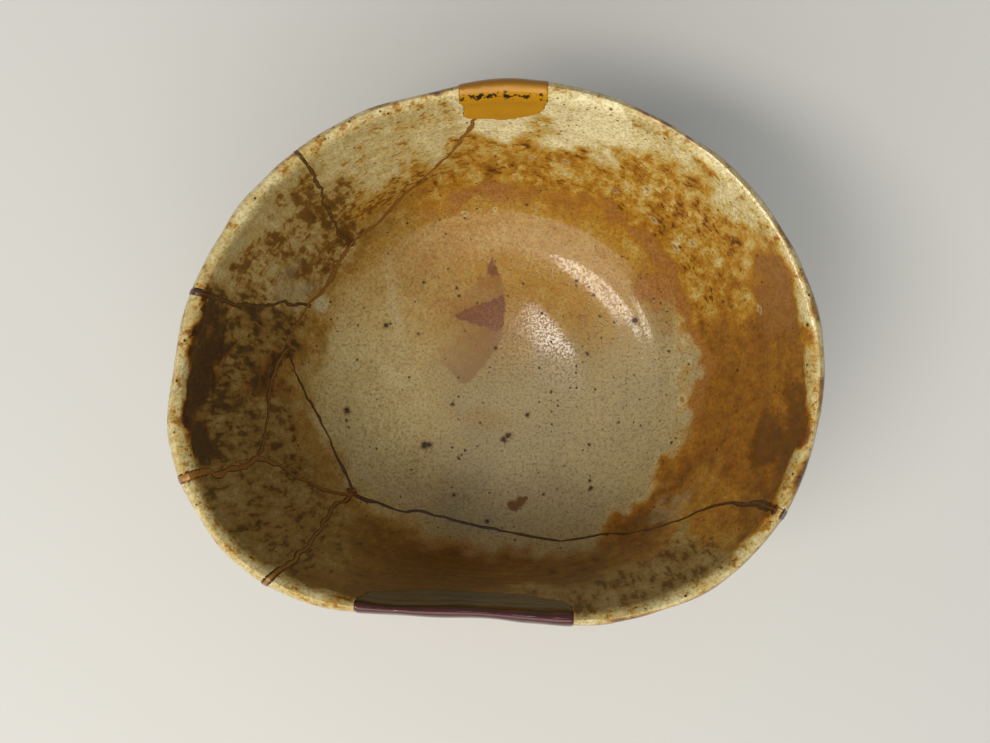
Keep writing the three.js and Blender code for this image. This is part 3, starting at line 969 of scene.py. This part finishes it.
    def material(self) -> bpy.types.Material:
        """Mixes the glaze."""
        mix = Recipe(self.name)
        spot = mix.put("TexCoord", out="Object")
        run = mix.put("Mapping", {"Vector": spot, "Scale": (1, 1, 0.5)})  # the glaze runs down the wall
        drawn = mix.put("Mapping", {"Vector": spot, "Scale": (1, 1, 0.16)})
        level = mix.put("Mapping", {"Vector": spot, "Scale": (1, 1, 1.5)})
        tone = {t: mix.put("Attribute", out="Fac", attribute_name=t) for t in TONES}
        broad, medium, small, streak, fine, dash = (
            mix.put("MapRange", {"Value": mix.put("TexNoise", {
                "Vector": lie, "Scale": per(size), "Detail": detail, "Roughness": 0.6}),
                "From Min": 0.32, "From Max": 0.68}, clamp=False)
            for lie, size, detail in ((run, 18.0, 3.0), (run, 6.0, 4.0), (run, 2.2, 4.0), (drawn, 1.5, 4.0),
                                      (run, 1.0, 3.0), (level, 2.0, 3.0))
        )
        grain = mix.put("TexNoise", {"Vector": spot, "Scale": per(0.66), "Detail": 2.0, "Roughness": 0.7})

        small = mix.put("Mix", {0: tone["grey"], 2: small, 3: streak})
        dash = mix.put("Mix", {0: tone["grey"], 2: dash, 3: small})
        gather = mix.put("Math", {0: medium, 1: 0.4, 2: -0.4}, operation="MULTIPLY_ADD")
        gather = mix.put("Math", {0: small, 1: 0.4, 2: gather}, operation="MULTIPLY_ADD")
        load = mix.put("Math", {0: gather, 1: tone["breaking"], 2: tone["iron"]}, operation="MULTIPLY_ADD")
        load = mix.put("Math", {0: fine, 1: 0.08, 2: load}, operation="MULTIPLY_ADD")
        dash = mix.put("Math", {0: medium, 1: 0.35, 2: dash}, operation="MULTIPLY_ADD")
        dash = mix.put("Math", {0: tone["dashes"], 1: 0.9, 2: dash}, operation="MULTIPLY_ADD")
        dash = mix.put("MapRange", {"Value": dash, "From Min": 1.2, "From Max": 1.45},
                       interpolation_type="SMOOTHSTEP")
        load = mix.put("Math", {0: dash, 1: 0.26, 2: load}, operation="MULTIPLY_ADD")
        warm = self._ramp(mix, load, self.iron)
        cool = self._ramp(mix, load, self.greyed)
        colour = mix.put("Mix", {0: tone["grey"], 6: warm, 7: cool}, out=2, data_type="RGBA")
        colour = self._lay(mix, colour, self.pool, broad, self._torn(mix, tone["pool"], medium, 0.3, 0.5))
        colour = self._lay(mix, colour, self.pink, fine, self._torn(mix, tone["pink"], medium, 0.4, 0.5))
        colour = self._lay(mix, colour, self.veil, small, self._torn(mix, tone["veil"], small, 0.5, 0.5))

        wobble = mix.put("TexNoise", {"Vector": spot, "Scale": per(1.0), "Detail": 1.0}, out="Color")
        shifted = mix.put("VectorMath", {0: wobble, 1: (0.0009, 0.0009, 0.0009), 2: spot},
                          operation="MULTIPLY_ADD")
        shifted = mix.put("VectorMath", {0: shifted, 1: (0.00045, 0.00045, 0.00045)}, operation="SUBTRACT")
        craters = [(self.marks.on_wall(self.form, a, s), r) for a, s, r in self.marks.craters]
        ring = self._marks(mix, shifted, craters)
        rim = mix.put("MapRange", {"Value": ring, "From Min": 1.2, "From Max": 0.75, "To Max": 0.6})
        pit = mix.put("MapRange", {"Value": ring, "From Min": 0.75, "From Max": 0.4, "To Max": 0.6})
        colour = mix.put("Mix", {0: rim, 6: colour, 7: self.crater}, out=2, data_type="RGBA")
        colour = mix.put("Mix", {0: pit, 6: colour, 7: self.halo}, out=2, data_type="RGBA")
        stain = self._marks(mix, shifted,
                            [(self.marks.on_floor(self.form, x, y), r) for x, y, r in self.marks.amber])
        stain = mix.put("MapRange", {"Value": stain, "From Min": 1.1, "From Max": 0.7})
        colour = mix.put("Mix", {0: stain, 6: colour, 7: self.halo}, out=2, data_type="RGBA")
        flash = self._flash(mix, spot, small, grain)
        colour = self._lay(mix, colour, self.flash, fine, flash)
        iron = self._marks(mix, shifted,
                           [(self.marks.on_floor(self.form, x, y), r) for x, y, r in self.marks.iron])
        speck = mix.put("MapRange", {"Value": iron, "From Min": 0.85, "From Max": 0.5})
        halo = mix.put("MapRange", {"Value": iron, "From Min": 1.4, "From Max": 0.8})
        for cell, low, high in ((1.6, -0.12, 0.2), (4.0, -0.15, 0.12)):
            more, wider = self._speckle(mix, spot, cell, low, high)
            speck = mix.put("Math", {0: speck, 1: more}, operation="MAXIMUM")
            halo = mix.put("Math", {0: halo, 1: wider}, operation="MAXIMUM")
        halo = mix.put("Math", {0: halo, 1: 0.45}, operation="MULTIPLY")
        colour = mix.put("Mix", {0: halo, 6: colour, 7: self.halo}, out=2, data_type="RGBA")
        colour = mix.put("Mix", {0: speck, 6: colour, 7: self.speck}, out=2, data_type="RGBA")
        dust = mix.put("MapRange", {"Value": grain, "From Min": 0.5, "From Max": 0.72, "To Max": 0.5})
        colour = mix.put("Mix", {0: dust, 6: colour, 7: self.halo}, out=2, data_type="RGBA")
        shade = mix.put("MapRange", {"Value": grain, "From Min": 0.3, "From Max": 0.7, "To Min": 1.14,
                                     "To Max": 0.84})
        colour = mix.put("Mix", {0: 1.0, 6: colour, 7: shade}, out=2, data_type="RGBA",
                         blend_type="MULTIPLY")
        bare = self._torn(mix, tone["clay"], medium, 0.4, 0.1)
        colour = self._lay(mix, colour, self.clay, fine, bare)

        rough = mix.put("Mix", {0: tone["gloss"], 2: 0.34, 3: 0.1})
        rough = mix.put("Mix", {0: speck, 2: rough, 3: 0.5})
        rough = mix.put("Mix", {0: bare, 2: rough, 3: 0.85})
        pits = mix.put("MapRange", {"Value": grain, "From Min": 0.5, "From Max": 0.62},
                       interpolation_type="SMOOTHSTEP")
        bump = mix.put("Bump", {"Height": pits, "Strength": 1.0, "Distance": -0.00002})
        skin = mix.put("BsdfPrincipled", {
            "Base Color": colour, "Roughness": rough, "Normal": bump, "Specular IOR Level": 0.42})
        mix.put("OutputMaterial", {"Surface": skin})
        return mix.material


@dataclass(frozen=True)
class SeamLacquer:
    """Brown lacquer brushed over the breaks and dusted with gold that has worn thin.

    It shows amber in the middle, dark and sharp at its edges, and brighter where it turns over the lip.
    """

    name: str = "brushed_seam_lacquer"
    amber: tuple[str, str] = ("#6e4212", "#93642a")
    brown: tuple[str, str] = ("#2a1708", "#4a2d10")
    gold: str = "#94661c"

    def material(self) -> bpy.types.Material:
        """Mixes the lacquer."""
        mix = Recipe(self.name)
        spot = mix.put("TexCoord", out="Object")
        across = mix.put("Attribute", out="Fac", attribute_name="across")
        warmth = mix.put("Attribute", out="Fac", attribute_name="warmth")
        gilt = mix.put("Attribute", out="Fac", attribute_name="gilt")
        streak = mix.put("TexNoise", {"Vector": spot, "Scale": per(1.6), "Detail": 4.0})
        fine = mix.put("TexNoise", {"Vector": spot, "Scale": per(0.5), "Detail": 2.0})
        amber = mix.put("Mix", {0: streak, 6: self.amber[0], 7: self.amber[1]}, out=2, data_type="RGBA")
        amber = mix.put("Mix", {0: gilt, 6: amber, 7: self.gold}, out=2, data_type="RGBA")
        brown = mix.put("Mix", {0: fine, 6: self.brown[0], 7: self.brown[1]}, out=2, data_type="RGBA")
        edge = mix.put("Math", {0: streak, 1: 0.5, 2: across}, operation="MULTIPLY_ADD")
        edge = mix.put("Math", {0: edge, 1: warmth}, operation="SUBTRACT")
        edge = mix.put("MapRange", {"Value": edge, "From Min": 0.0, "From Max": 0.35},
                       interpolation_type="SMOOTHSTEP")
        colour = mix.put("Mix", {0: edge, 6: amber, 7: brown}, out=2, data_type="RGBA")
        rough = mix.put("MapRange", {"Value": fine, "From Min": 0.3, "From Max": 0.7, "To Min": 0.22,
                                     "To Max": 0.4})
        metal = mix.put("Math", {0: gilt, 1: 0.1}, operation="MULTIPLY")
        bump = mix.put("Bump", {"Height": streak, "Strength": 0.5, "Distance": 0.0001})
        skin = mix.put("BsdfPrincipled",
                       {"Base Color": colour, "Roughness": rough, "Metallic": metal, "Normal": bump})
        mix.put("OutputMaterial", {"Surface": skin})
        return mix.material


@dataclass(frozen=True)
class GoldLacquer:
    """Gold powder sprinkled on wet lacquer and burnished.

    It is a deep, satin gold, even in colour save for painted shade on the outer face of the lip, outlined by
    the bare lacquer at its edge and flecked black along the crest of the lip, where hands have worn it
    through.
    """

    name: str = "burnished_gold_lacquer"
    gold: tuple[str, str] = ("#b27c06", "#cf9812")
    # painted shade: the darker gold laid over the outer face of the lip
    shade: str = "#926206"
    under: str = "#22120a"

    def material(self) -> bpy.types.Material:
        """Mixes the lacquer."""
        mix = Recipe(self.name)
        spot = mix.put("TexCoord", out="Object")
        edge = mix.put("Attribute", out="Fac", attribute_name="edge_mm")
        crest = mix.put("Attribute", out="Fac", attribute_name="crest")
        cloud = mix.put("TexNoise", {"Vector": spot, "Scale": per(5.0), "Detail": 3.0})
        fleck = mix.put("TexNoise", {"Vector": spot, "Scale": per(1.3), "Detail": 3.0, "Roughness": 0.65})
        powder = mix.put("TexNoise", {"Vector": spot, "Scale": per(0.35), "Detail": 2.0})
        gold = mix.put("Mix", {0: cloud, 6: self.gold[0], 7: self.gold[1]}, out=2, data_type="RGBA")
        # Painted shade: the gold turns darker over the outer face of the lip.
        outer = mix.put("Attribute", out="Fac", attribute_name="outer")
        gold = mix.put("Mix", {0: outer, 6: gold, 7: self.shade}, out=2, data_type="RGBA")
        worn = mix.put("Math", {0: crest, 1: 0.34, 2: fleck}, operation="MULTIPLY_ADD")
        worn = mix.put("MapRange", {"Value": worn, "From Min": 0.8, "From Max": 0.86})
        rim = mix.put("Math", {0: fleck, 1: -0.5, 2: edge}, operation="MULTIPLY_ADD")
        rim = mix.put("MapRange", {"Value": rim, "From Min": 0.0, "From Max": -0.12})
        bare = mix.put("Math", {0: worn, 1: rim}, operation="MAXIMUM")
        colour = mix.put("Mix", {0: bare, 6: gold, 7: self.under}, out=2, data_type="RGBA")
        metal = mix.put("MapRange", {"Value": bare, "To Min": 0.12, "To Max": 0.0})
        rough = mix.put("MapRange", {"Value": powder, "From Min": 0.3, "From Max": 0.7, "To Min": 0.3,
                                     "To Max": 0.42})
        bump = mix.put("Bump", {"Height": powder, "Strength": 0.4, "Distance": 0.00003})
        skin = mix.put("BsdfPrincipled",
                       {"Base Color": colour, "Roughness": rough, "Metallic": metal, "Normal": bump})
        mix.put("OutputMaterial", {"Surface": skin})
        return mix.material


@dataclass(frozen=True)
class DarkLacquer:
    """Red-brown lacquer built up in coats and polished.

    It is nearly black with a deep wet gloss, and redder where it thins on the outside of the lip.
    """

    name: str = "polished_dark_lacquer"
    deep: str = "#190b09"
    red: str = "#45100a"

    def material(self) -> bpy.types.Material:
        """Mixes the lacquer."""
        mix = Recipe(self.name)
        spot = mix.put("TexCoord", out="Object")
        outer = mix.put("Attribute", out="Fac", attribute_name="outer")
        cloud = mix.put("TexNoise", {"Vector": spot, "Scale": per(4.0), "Detail": 3.0})
        thin = mix.put("Math", {0: cloud, 1: 1.2, 2: outer}, operation="MULTIPLY_ADD")
        thin = mix.put("MapRange", {"Value": thin, "From Min": 0.6, "From Max": 1.2},
                       interpolation_type="SMOOTHSTEP")
        colour = mix.put("Mix", {0: thin, 6: self.deep, 7: self.red}, out=2, data_type="RGBA")
        ripple = mix.put("TexNoise", {"Vector": spot, "Scale": per(3.0), "Detail": 1.0})
        bump = mix.put("Bump", {"Height": ripple, "Strength": 0.6, "Distance": 0.0001})
        skin = mix.put("BsdfPrincipled", {
            "Base Color": colour, "Roughness": 0.16, "Normal": bump, "Coat Weight": 0.25,
            "Coat Roughness": 0.05})
        mix.put("OutputMaterial", {"Surface": skin})
        return mix.material


# ---- The pieces -------------------------------------------------------------------------------------


@dataclass
class BrokenBowl:
    """The thrown bowl, broken into its sherds."""

    form: BowlForm
    ring_step: float = 0.95
    round_steps: int = 400
    break_gap: float = 0.2
    past_wall: float = 3.0
    sherds: tuple[tuple[str, str, float, float], ...] = (
        ("glazed_body_with_foot", "bowl_body_with_foot", 20, 0.5),
        ("glazed_sherd_back_left", "sherd_back_left", 113, 0.85),
        ("glazed_sherd_left_upper", "sherd_left_upper", 150, 0.85),
        ("glazed_sherd_left_middle", "sherd_left_middle", 184, 0.85),
        ("glazed_sherd_left_hip", "sherd_left_hip", 200, 0.58),
        ("glazed_sherd_front_left", "sherd_front_left", 212, 0.85),
        ("glazed_sherd_front", "sherd_front", 270, 0.65),
    )

    def throw(self) -> bpy.types.Object:
        """Throws the whole bowl: one section drawn point by point, turned round the axis, then pressed."""
        share = even_shares(self.form.profile, self.ring_step)
        rows = share * (len(self.form.course) - 1)
        course = np.interp(rows, range(len(self.form.course)), self.form.course)
        section = np.column_stack([np.interp(course, self.form.course,
                                             self.form.profile[:, i]) for i in (0, 1)])
        bpy.ops.mesh.primitive_plane_add(size=MM)
        bowl = bpy.context.active_object
        bowl.name = "thrown_bowl"
        bpy.ops.object.mode_set(mode="EDIT")
        bpy.ops.mesh.select_all(action="SELECT")
        bpy.ops.mesh.merge(type="CENTER")
        bpy.ops.transform.translate(value=(0, 0, section[0, 1] * MM))
        for step in np.diff(section, axis=0) * MM:
            bpy.ops.mesh.extrude_vertices_move(TRANSFORM_OT_translate={"value": (step[0], 0, step[1])})
        bpy.ops.object.mode_set(mode="OBJECT")
        modify(bowl, "SCREW", angle=2 * math.pi, steps=self.round_steps, render_steps=self.round_steps,
               use_merge_vertices=True, merge_threshold=1e-6)
        tidy(bowl)
        angle, radius_height = self._read(bowl)
        gap = ((radius_height[:, None, :] - section[None, :, :]) ** 2).sum(axis=2)
        move_to(bowl, self.form.skin(angle, course[gap.argmin(axis=1)]))
        return bowl

    @staticmethod
    def _read(bowl: bpy.types.Object) -> tuple[np.ndarray, np.ndarray]:
        """The angle, and the radius and height in mm, of each vertex of the bowl as turned."""
        points = coordinates(bowl) / MM
        return np.arctan2(points[:, 1], points[:, 0]), np.column_stack(
            [np.hypot(points[:, 0], points[:, 1]), points[:, 2]])

    def blade(self, seam: Seam) -> bpy.types.Object:
        """A thin ribbon that stands square in the wall along a seam, to break it with."""
        angle, reach, _ = seam.stations(self.form)
        inner = self.form.face(Side.INNER, angle, reach)
        outer = self.form.face(Side.OUTER, angle, reach)
        way = outer - inner
        way *= self.past_wall * MM / np.linalg.norm(way, axis=1, keepdims=True)
        bpy.ops.mesh.primitive_grid_add(x_subdivisions=1, y_subdivisions=len(angle) - 1, size=0.1)
        ribbon = bpy.context.active_object
        ribbon.name = "blade_" + seam.name
        rows = coordinates(ribbon)
        order = np.lexsort((rows[:, 0], rows[:, 1]))
        rows[order] = np.stack([inner - way, outer + way], axis=1).reshape(-1, 3)
        move_to(ribbon, rows)
        modify(ribbon, "SOLIDIFY", thickness=self.break_gap * MM, offset=0.0)
        return ribbon

    def build(self, bowl: bpy.types.Object, glaze_map: GlazeMap,
              finish: bpy.types.Material) -> list[bpy.types.Object]:
        """Breaks the bowl and dresses its sherds.

        Args:
            bowl: the bowl as thrown, which is used up.
            glaze_map: where the glaze's tones lie.
            finish: the glaze.

        Returns:
            The sherds.
        """
        for seam in SEAMS:
            combine(bowl, self.blade(seam), "DIFFERENCE")
        for chip in (GOLD_CHIP, DARK_CHIP):
            combine(bowl, chip.block(self.form), "DIFFERENCE")
        pick(bowl)
        bpy.ops.mesh.separate(type="LOOSE")
        loose = {piece: coordinates(piece) for piece in bpy.context.selected_objects}
        LOG.info("the bowl broke into %d", len(loose))
        made = []
        for name, node, degrees, reach in self.sherds:
            spot = self.form.skin(np.array([math.radians(degrees)]), np.array([reach]))
            piece = min(loose, key=lambda p: ((loose[p] - spot) ** 2).sum(axis=1).min())
            piece.name = name
            glaze_map.paint(piece, self.form)
            finish_piece(piece, finish, [node])
            made.append(piece)
        for piece in set(loose) - set(made):
            bpy.data.objects.remove(piece)
        return made


@dataclass
class SeamWork:
    """The lacquer drawn over the breaks, on both faces of the wall and over the lip."""

    form: BowlForm
    proud: float = 0.16
    sunk: float = 0.45
    crown: tuple[tuple[float, float], ...] = (
        (-1.0, -0.35), (-0.8, 0.35), (-0.45, 0.85), (0.0, 1.0), (0.45, 0.85), (0.8, 0.35), (1.0, -0.35),
    )

    def path(self, seam: Seam) -> list[tuple[np.ndarray, np.ndarray, np.ndarray]]:
        """The runs of a seam on the skin, each as angles, courses and widths."""
        angle, reach, width = seam.stations(self.form)
        inside = reach <= 1
        angle, reach, width = angle[inside], reach[inside], width[inside]
        if not seam.reaches_lip():
            return [(angle, reach, width), (angle, 3 - reach, width)]
        if seam.route[0][1] > 1:
            angle, reach, width = angle[::-1], reach[::-1], width[::-1]
        over = np.linspace(reach[-1], 3 - reach[-1], 22)[1:-1]
        return [(
            np.concatenate([angle, np.full(len(over), angle[-1]), angle[::-1]]),
            np.concatenate([reach, over, 3 - reach[::-1]]),
            np.concatenate([width, np.full(len(over), width[-1]), width[::-1]]),
        )]

    def _normals(self, angle: np.ndarray, course: np.ndarray) -> np.ndarray:
        """The outward normals of the skin at these places."""
        tiny = 0.004
        here = self.form.skin(angle, course)
        normal = np.cross(self.form.skin(angle, course + tiny) - here,
                          self.form.skin(angle + tiny, course) - here)
        return normal / np.linalg.norm(normal, axis=1, keepdims=True)

    def _sides(self, angle: np.ndarray, course: np.ndarray) -> np.ndarray:
        """The directions across a run, in the skin."""
        ahead = np.gradient(self.form.skin(angle, course), axis=0)
        side = np.cross(ahead, self._normals(angle, course))
        return side / np.linalg.norm(side, axis=1, keepdims=True)

    def bead(self, name: str, angle: np.ndarray, course: np.ndarray, width: np.ndarray) -> bpy.types.Object:
        """One closed bead of lacquer along a run of the skin."""
        here = self.form.skin(angle, course)
        normal = self._normals(angle, course)
        side = self._sides(angle, course)
        proud = self.proud * np.clip(width / 1.6, 0.35, 1.1)
        loop = [(u * width / 2, v * proud) for u, v in self.crown]
        loop += [(0.7 * width / 2, -self.sunk + 0 * width), (-0.7 * width / 2, -self.sunk + 0 * width)]
        rings = np.stack([here + (side * a[:, None] + normal * h[:, None]) * MM for a, h in loop], axis=1)
        bpy.ops.mesh.primitive_cylinder_add(vertices=len(loop), radius=0.01, depth=0.1,
                                            end_fill_type="NGON")
        bead = bpy.context.active_object
        bead.name = name
        self._cut_rings(bead, len(here))
        points = coordinates(bead)
        level = np.round((points[:, 2] + 0.05) / 0.1 * (len(here) - 1)).astype(int)
        turn = np.arctan2(points[:, 1], points[:, 0])
        first = turn[np.argmax(level == 0)]
        slot = np.round(((turn - first) % (2 * math.pi)) / (2 * math.pi) * len(loop)).astype(int) % len(loop)
        move_to(bead, rings[level, slot])
        tidy(bead, 1e-7)
        return bead

    @staticmethod
    def _cut_rings(bead: bpy.types.Object, rings: int) -> None:
        """Cuts an upright tube into level rings."""
        pick(bead)
        bpy.ops.object.mode_set(mode="EDIT")
        bpy.ops.mesh.select_all(action="DESELECT")
        bpy.ops.object.mode_set(mode="OBJECT")
        for edge in bead.data.edges:
            low, high = (bead.data.vertices[i].co.z for i in edge.vertices)
            edge.select = abs(low - high) > 0.05
        bpy.ops.object.mode_set(mode="EDIT")
        bpy.ops.mesh.subdivide(number_cuts=rings - 2)
        bpy.ops.object.mode_set(mode="OBJECT")

    def mark(self, net: bpy.types.Object) -> None:
        """Stores how far across the seam each place is, how warm the lacquer is, and how much gold is left."""
        rows = []
        for seam in SEAMS:
            for angle, course, width in self.path(seam):
                lip = smooth(np.abs(course - 1.5), 0.62, 0.5) * (seam.warmth > 0.3)
                side = self._sides(angle, course)
                rows.append(np.column_stack([
                    self.form.skin(angle, course), side, width / 2 * MM, np.full(len(angle), seam.warmth),
                    lip]))
        table = np.concatenate(rows)
        tree = KDTree(len(table))
        for k, row in enumerate(table):
            tree.insert(row[:3], k)
        tree.balance()
        placed = coordinates(net)
        near = table[[tree.find(point)[1] for point in placed]]
        across = np.abs(((placed - near[:, :3]) * near[:, 3:6]).sum(axis=1)) / near[:, 6]
        write_attribute(net, "across", np.minimum(across, 1.3))
        write_attribute(net, "warmth", near[:, 7])
        write_attribute(net, "gilt", near[:, 8])

    def build(self, finish: bpy.types.Material) -> bpy.types.Object:
        """Lays every bead and joins them into one network."""
        beads = [
            self.bead(f"bead_{seam.name}_{k}", *run)
            for seam in SEAMS
            for k, run in enumerate(self.path(seam))
        ]
        net = beads[0]
        for bead in beads[1:]:
            combine(net, bead, "UNION")
        net.name = "brushed_lacquer_seams"
        self.mark(net)
        finish_piece(net, finish, ["lacquer_seams"])
        return net


@dataclass
class LipFill:
    """Lacquer built up in a chip of the lip until it stands a little proud of the glaze."""

    form: BowlForm
    chip: Chip
    name: str
    node: str
    slot: str
    voxel: float = 0.28
    proud: float = 0.25

    def build(self, whole: bpy.types.Object, finish: bpy.types.Material) -> bpy.types.Object:
        """Fills the chip.

        Args:
            whole: the bowl before it broke.
            finish: the lacquer.

        Returns:
            The fill.
        """
        fill = self.chip.block(self.form)
        other = whole.copy()
        other.data = whole.data.copy()
        bpy.context.collection.objects.link(other)
        combine(fill, other, "INTERSECT")
        fill.name = self.name
        modify(fill, "REMESH", mode="VOXEL", voxel_size=self.voxel * MM)
        pick(fill)
        bpy.ops.object.mode_set(mode="EDIT")
        bpy.ops.mesh.select_all(action="SELECT")
        bpy.ops.transform.shrink_fatten(value=self.proud * MM)
        bpy.ops.object.mode_set(mode="OBJECT")
        modify(fill, "SMOOTH", factor=0.5, iterations=4)
        placed = coordinates(fill)
        _, course = self.form.locate(placed)
        write_attribute(fill, "edge_mm", self.chip.edge_distance(self.form, placed))
        write_attribute(fill, "crest", np.exp(-(((course - 1.28) / 0.14) ** 2)))
        # The outer face of the lip: where the gold is painted darker as shade, and where the dark lacquer
        # turns red.
        write_attribute(fill, "outer", smooth(course, 1.25, 1.6))
        finish_piece(fill, finish, [self.node])
        return fill


# ---- The stage --------------------------------------------------------------------------------------


@dataclass
class Studio:
    """A pale floor, soft lights and the camera above the bowl."""

    target: tuple[float, float, float] = (-0.00026, -0.00444, 0.068)
    elevation: float = 86.5
    distance: float = 0.242
    lens: float = 42.2
    floor_colour: str = "#cfd1cf"

    def camera(self) -> None:
        """Sets the camera."""
        data = bpy.data.cameras.new("camera")
        data.lens = self.lens
        data.sensor_width = 36.0
        data.clip_start = 0.01
        camera = bpy.data.objects.new("camera", data)
        bpy.context.scene.collection.objects.link(camera)
        lift = math.radians(self.elevation)
        camera.location = Vector(self.target) + self.distance * Vector((0, -math.cos(lift), math.sin(lift)))
        camera.rotation_euler = (math.radians(90 - self.elevation), 0, 0)
        bpy.context.scene.camera = camera

    def floor(self) -> None:
        """Lays the floor."""
        bpy.ops.object.select_all(action="DESELECT")
        bpy.ops.mesh.primitive_plane_add(size=4.0)
        floor = bpy.context.active_object
        floor.name = "floor"
        made = bpy.data.materials.new("matt_floor")
        made.use_nodes = True
        skin = made.node_tree.nodes["Principled BSDF"]
        skin.inputs["Base Color"].default_value = linear(self.floor_colour)
        skin.inputs["Roughness"].default_value = 0.6
        floor.data.materials.append(made)

    def lamp(self, name: str, place: tuple[float, float, float], size: tuple[float, float], watts: float,
             colour: str, aim: tuple[float, float, float] | None = None, turn: float = 0.0) -> None:
        """Hangs one soft oval lamp.

        Args:
            name: its name.
            place: its middle, in metres.
            size: its length and width, in metres.
            watts: its power.
            colour: its colour.
            aim: the point it faces. Without one it faces straight down.
            turn: how far a lamp that faces down is turned, in degrees.
        """
        data = bpy.data.lights.new(name, "AREA")
        data.shape = "ELLIPSE"
        data.size, data.size_y = size
        data.energy = watts
        data.color = linear(colour)[:3]
        lamp = bpy.data.objects.new(name, data)
        bpy.context.scene.collection.objects.link(lamp)
        lamp.location = place
        lamp.rotation_euler = (0, 0, math.radians(turn))
        if aim:
            lamp.rotation_euler = (Vector(place) - Vector(aim)).to_track_quat("Z", "Y").to_euler()

    def build(self) -> None:
        """Sets up the whole stage."""
        bpy.context.scene.view_settings.view_transform = "Standard"
        self.camera()
        self.floor()
        self.lamp("ceiling_strip", (-0.70, -0.40, 1.32), (0.95, 0.36), 12, "#fff4e4", turn=-19)
        self.lamp("overhead", (0.118, 0.174, 1.6), (0.09, 0.07), 0.5, "#ffffff")
        self.lamp("front_softbox", (-0.2, -1.1, 1.0), (2.2, 1.6), 17, "#fffaf2", aim=(0, 0, 0.03))
        world = bpy.data.worlds.new("studio")
        world.use_nodes = True
        world.node_tree.nodes["Background"].inputs["Color"].default_value = linear("#eceef0")
        world.node_tree.nodes["Background"].inputs["Strength"].default_value = 0.39
        bpy.context.scene.world = world


def main() -> None:
    """Builds the stage and every piece of the bowl, in order."""
    logging.basicConfig(level=logging.INFO, format="%(message)s")
    Studio().build()
    form = BowlForm()
    glaze = AshGlaze(form).material()
    broken = BrokenBowl(form)
    whole = broken.throw()
    gold = LipFill(form, GOLD_CHIP, "gold_lacquer_lip_fill", "gold_lip_fill", "gold_lacquer")
    dark = LipFill(form, DARK_CHIP, "dark_lacquer_lip_piece", "dark_lacquer_lip_fill", "dark_lacquer")
    gold.build(whole, GoldLacquer().material())
    dark.build(whole, DarkLacquer().material())
    broken.build(whole, GlazeMap(), glaze)
    SeamWork(form).build(SeamLacquer().material())


if __name__ == "__main__":
    main()
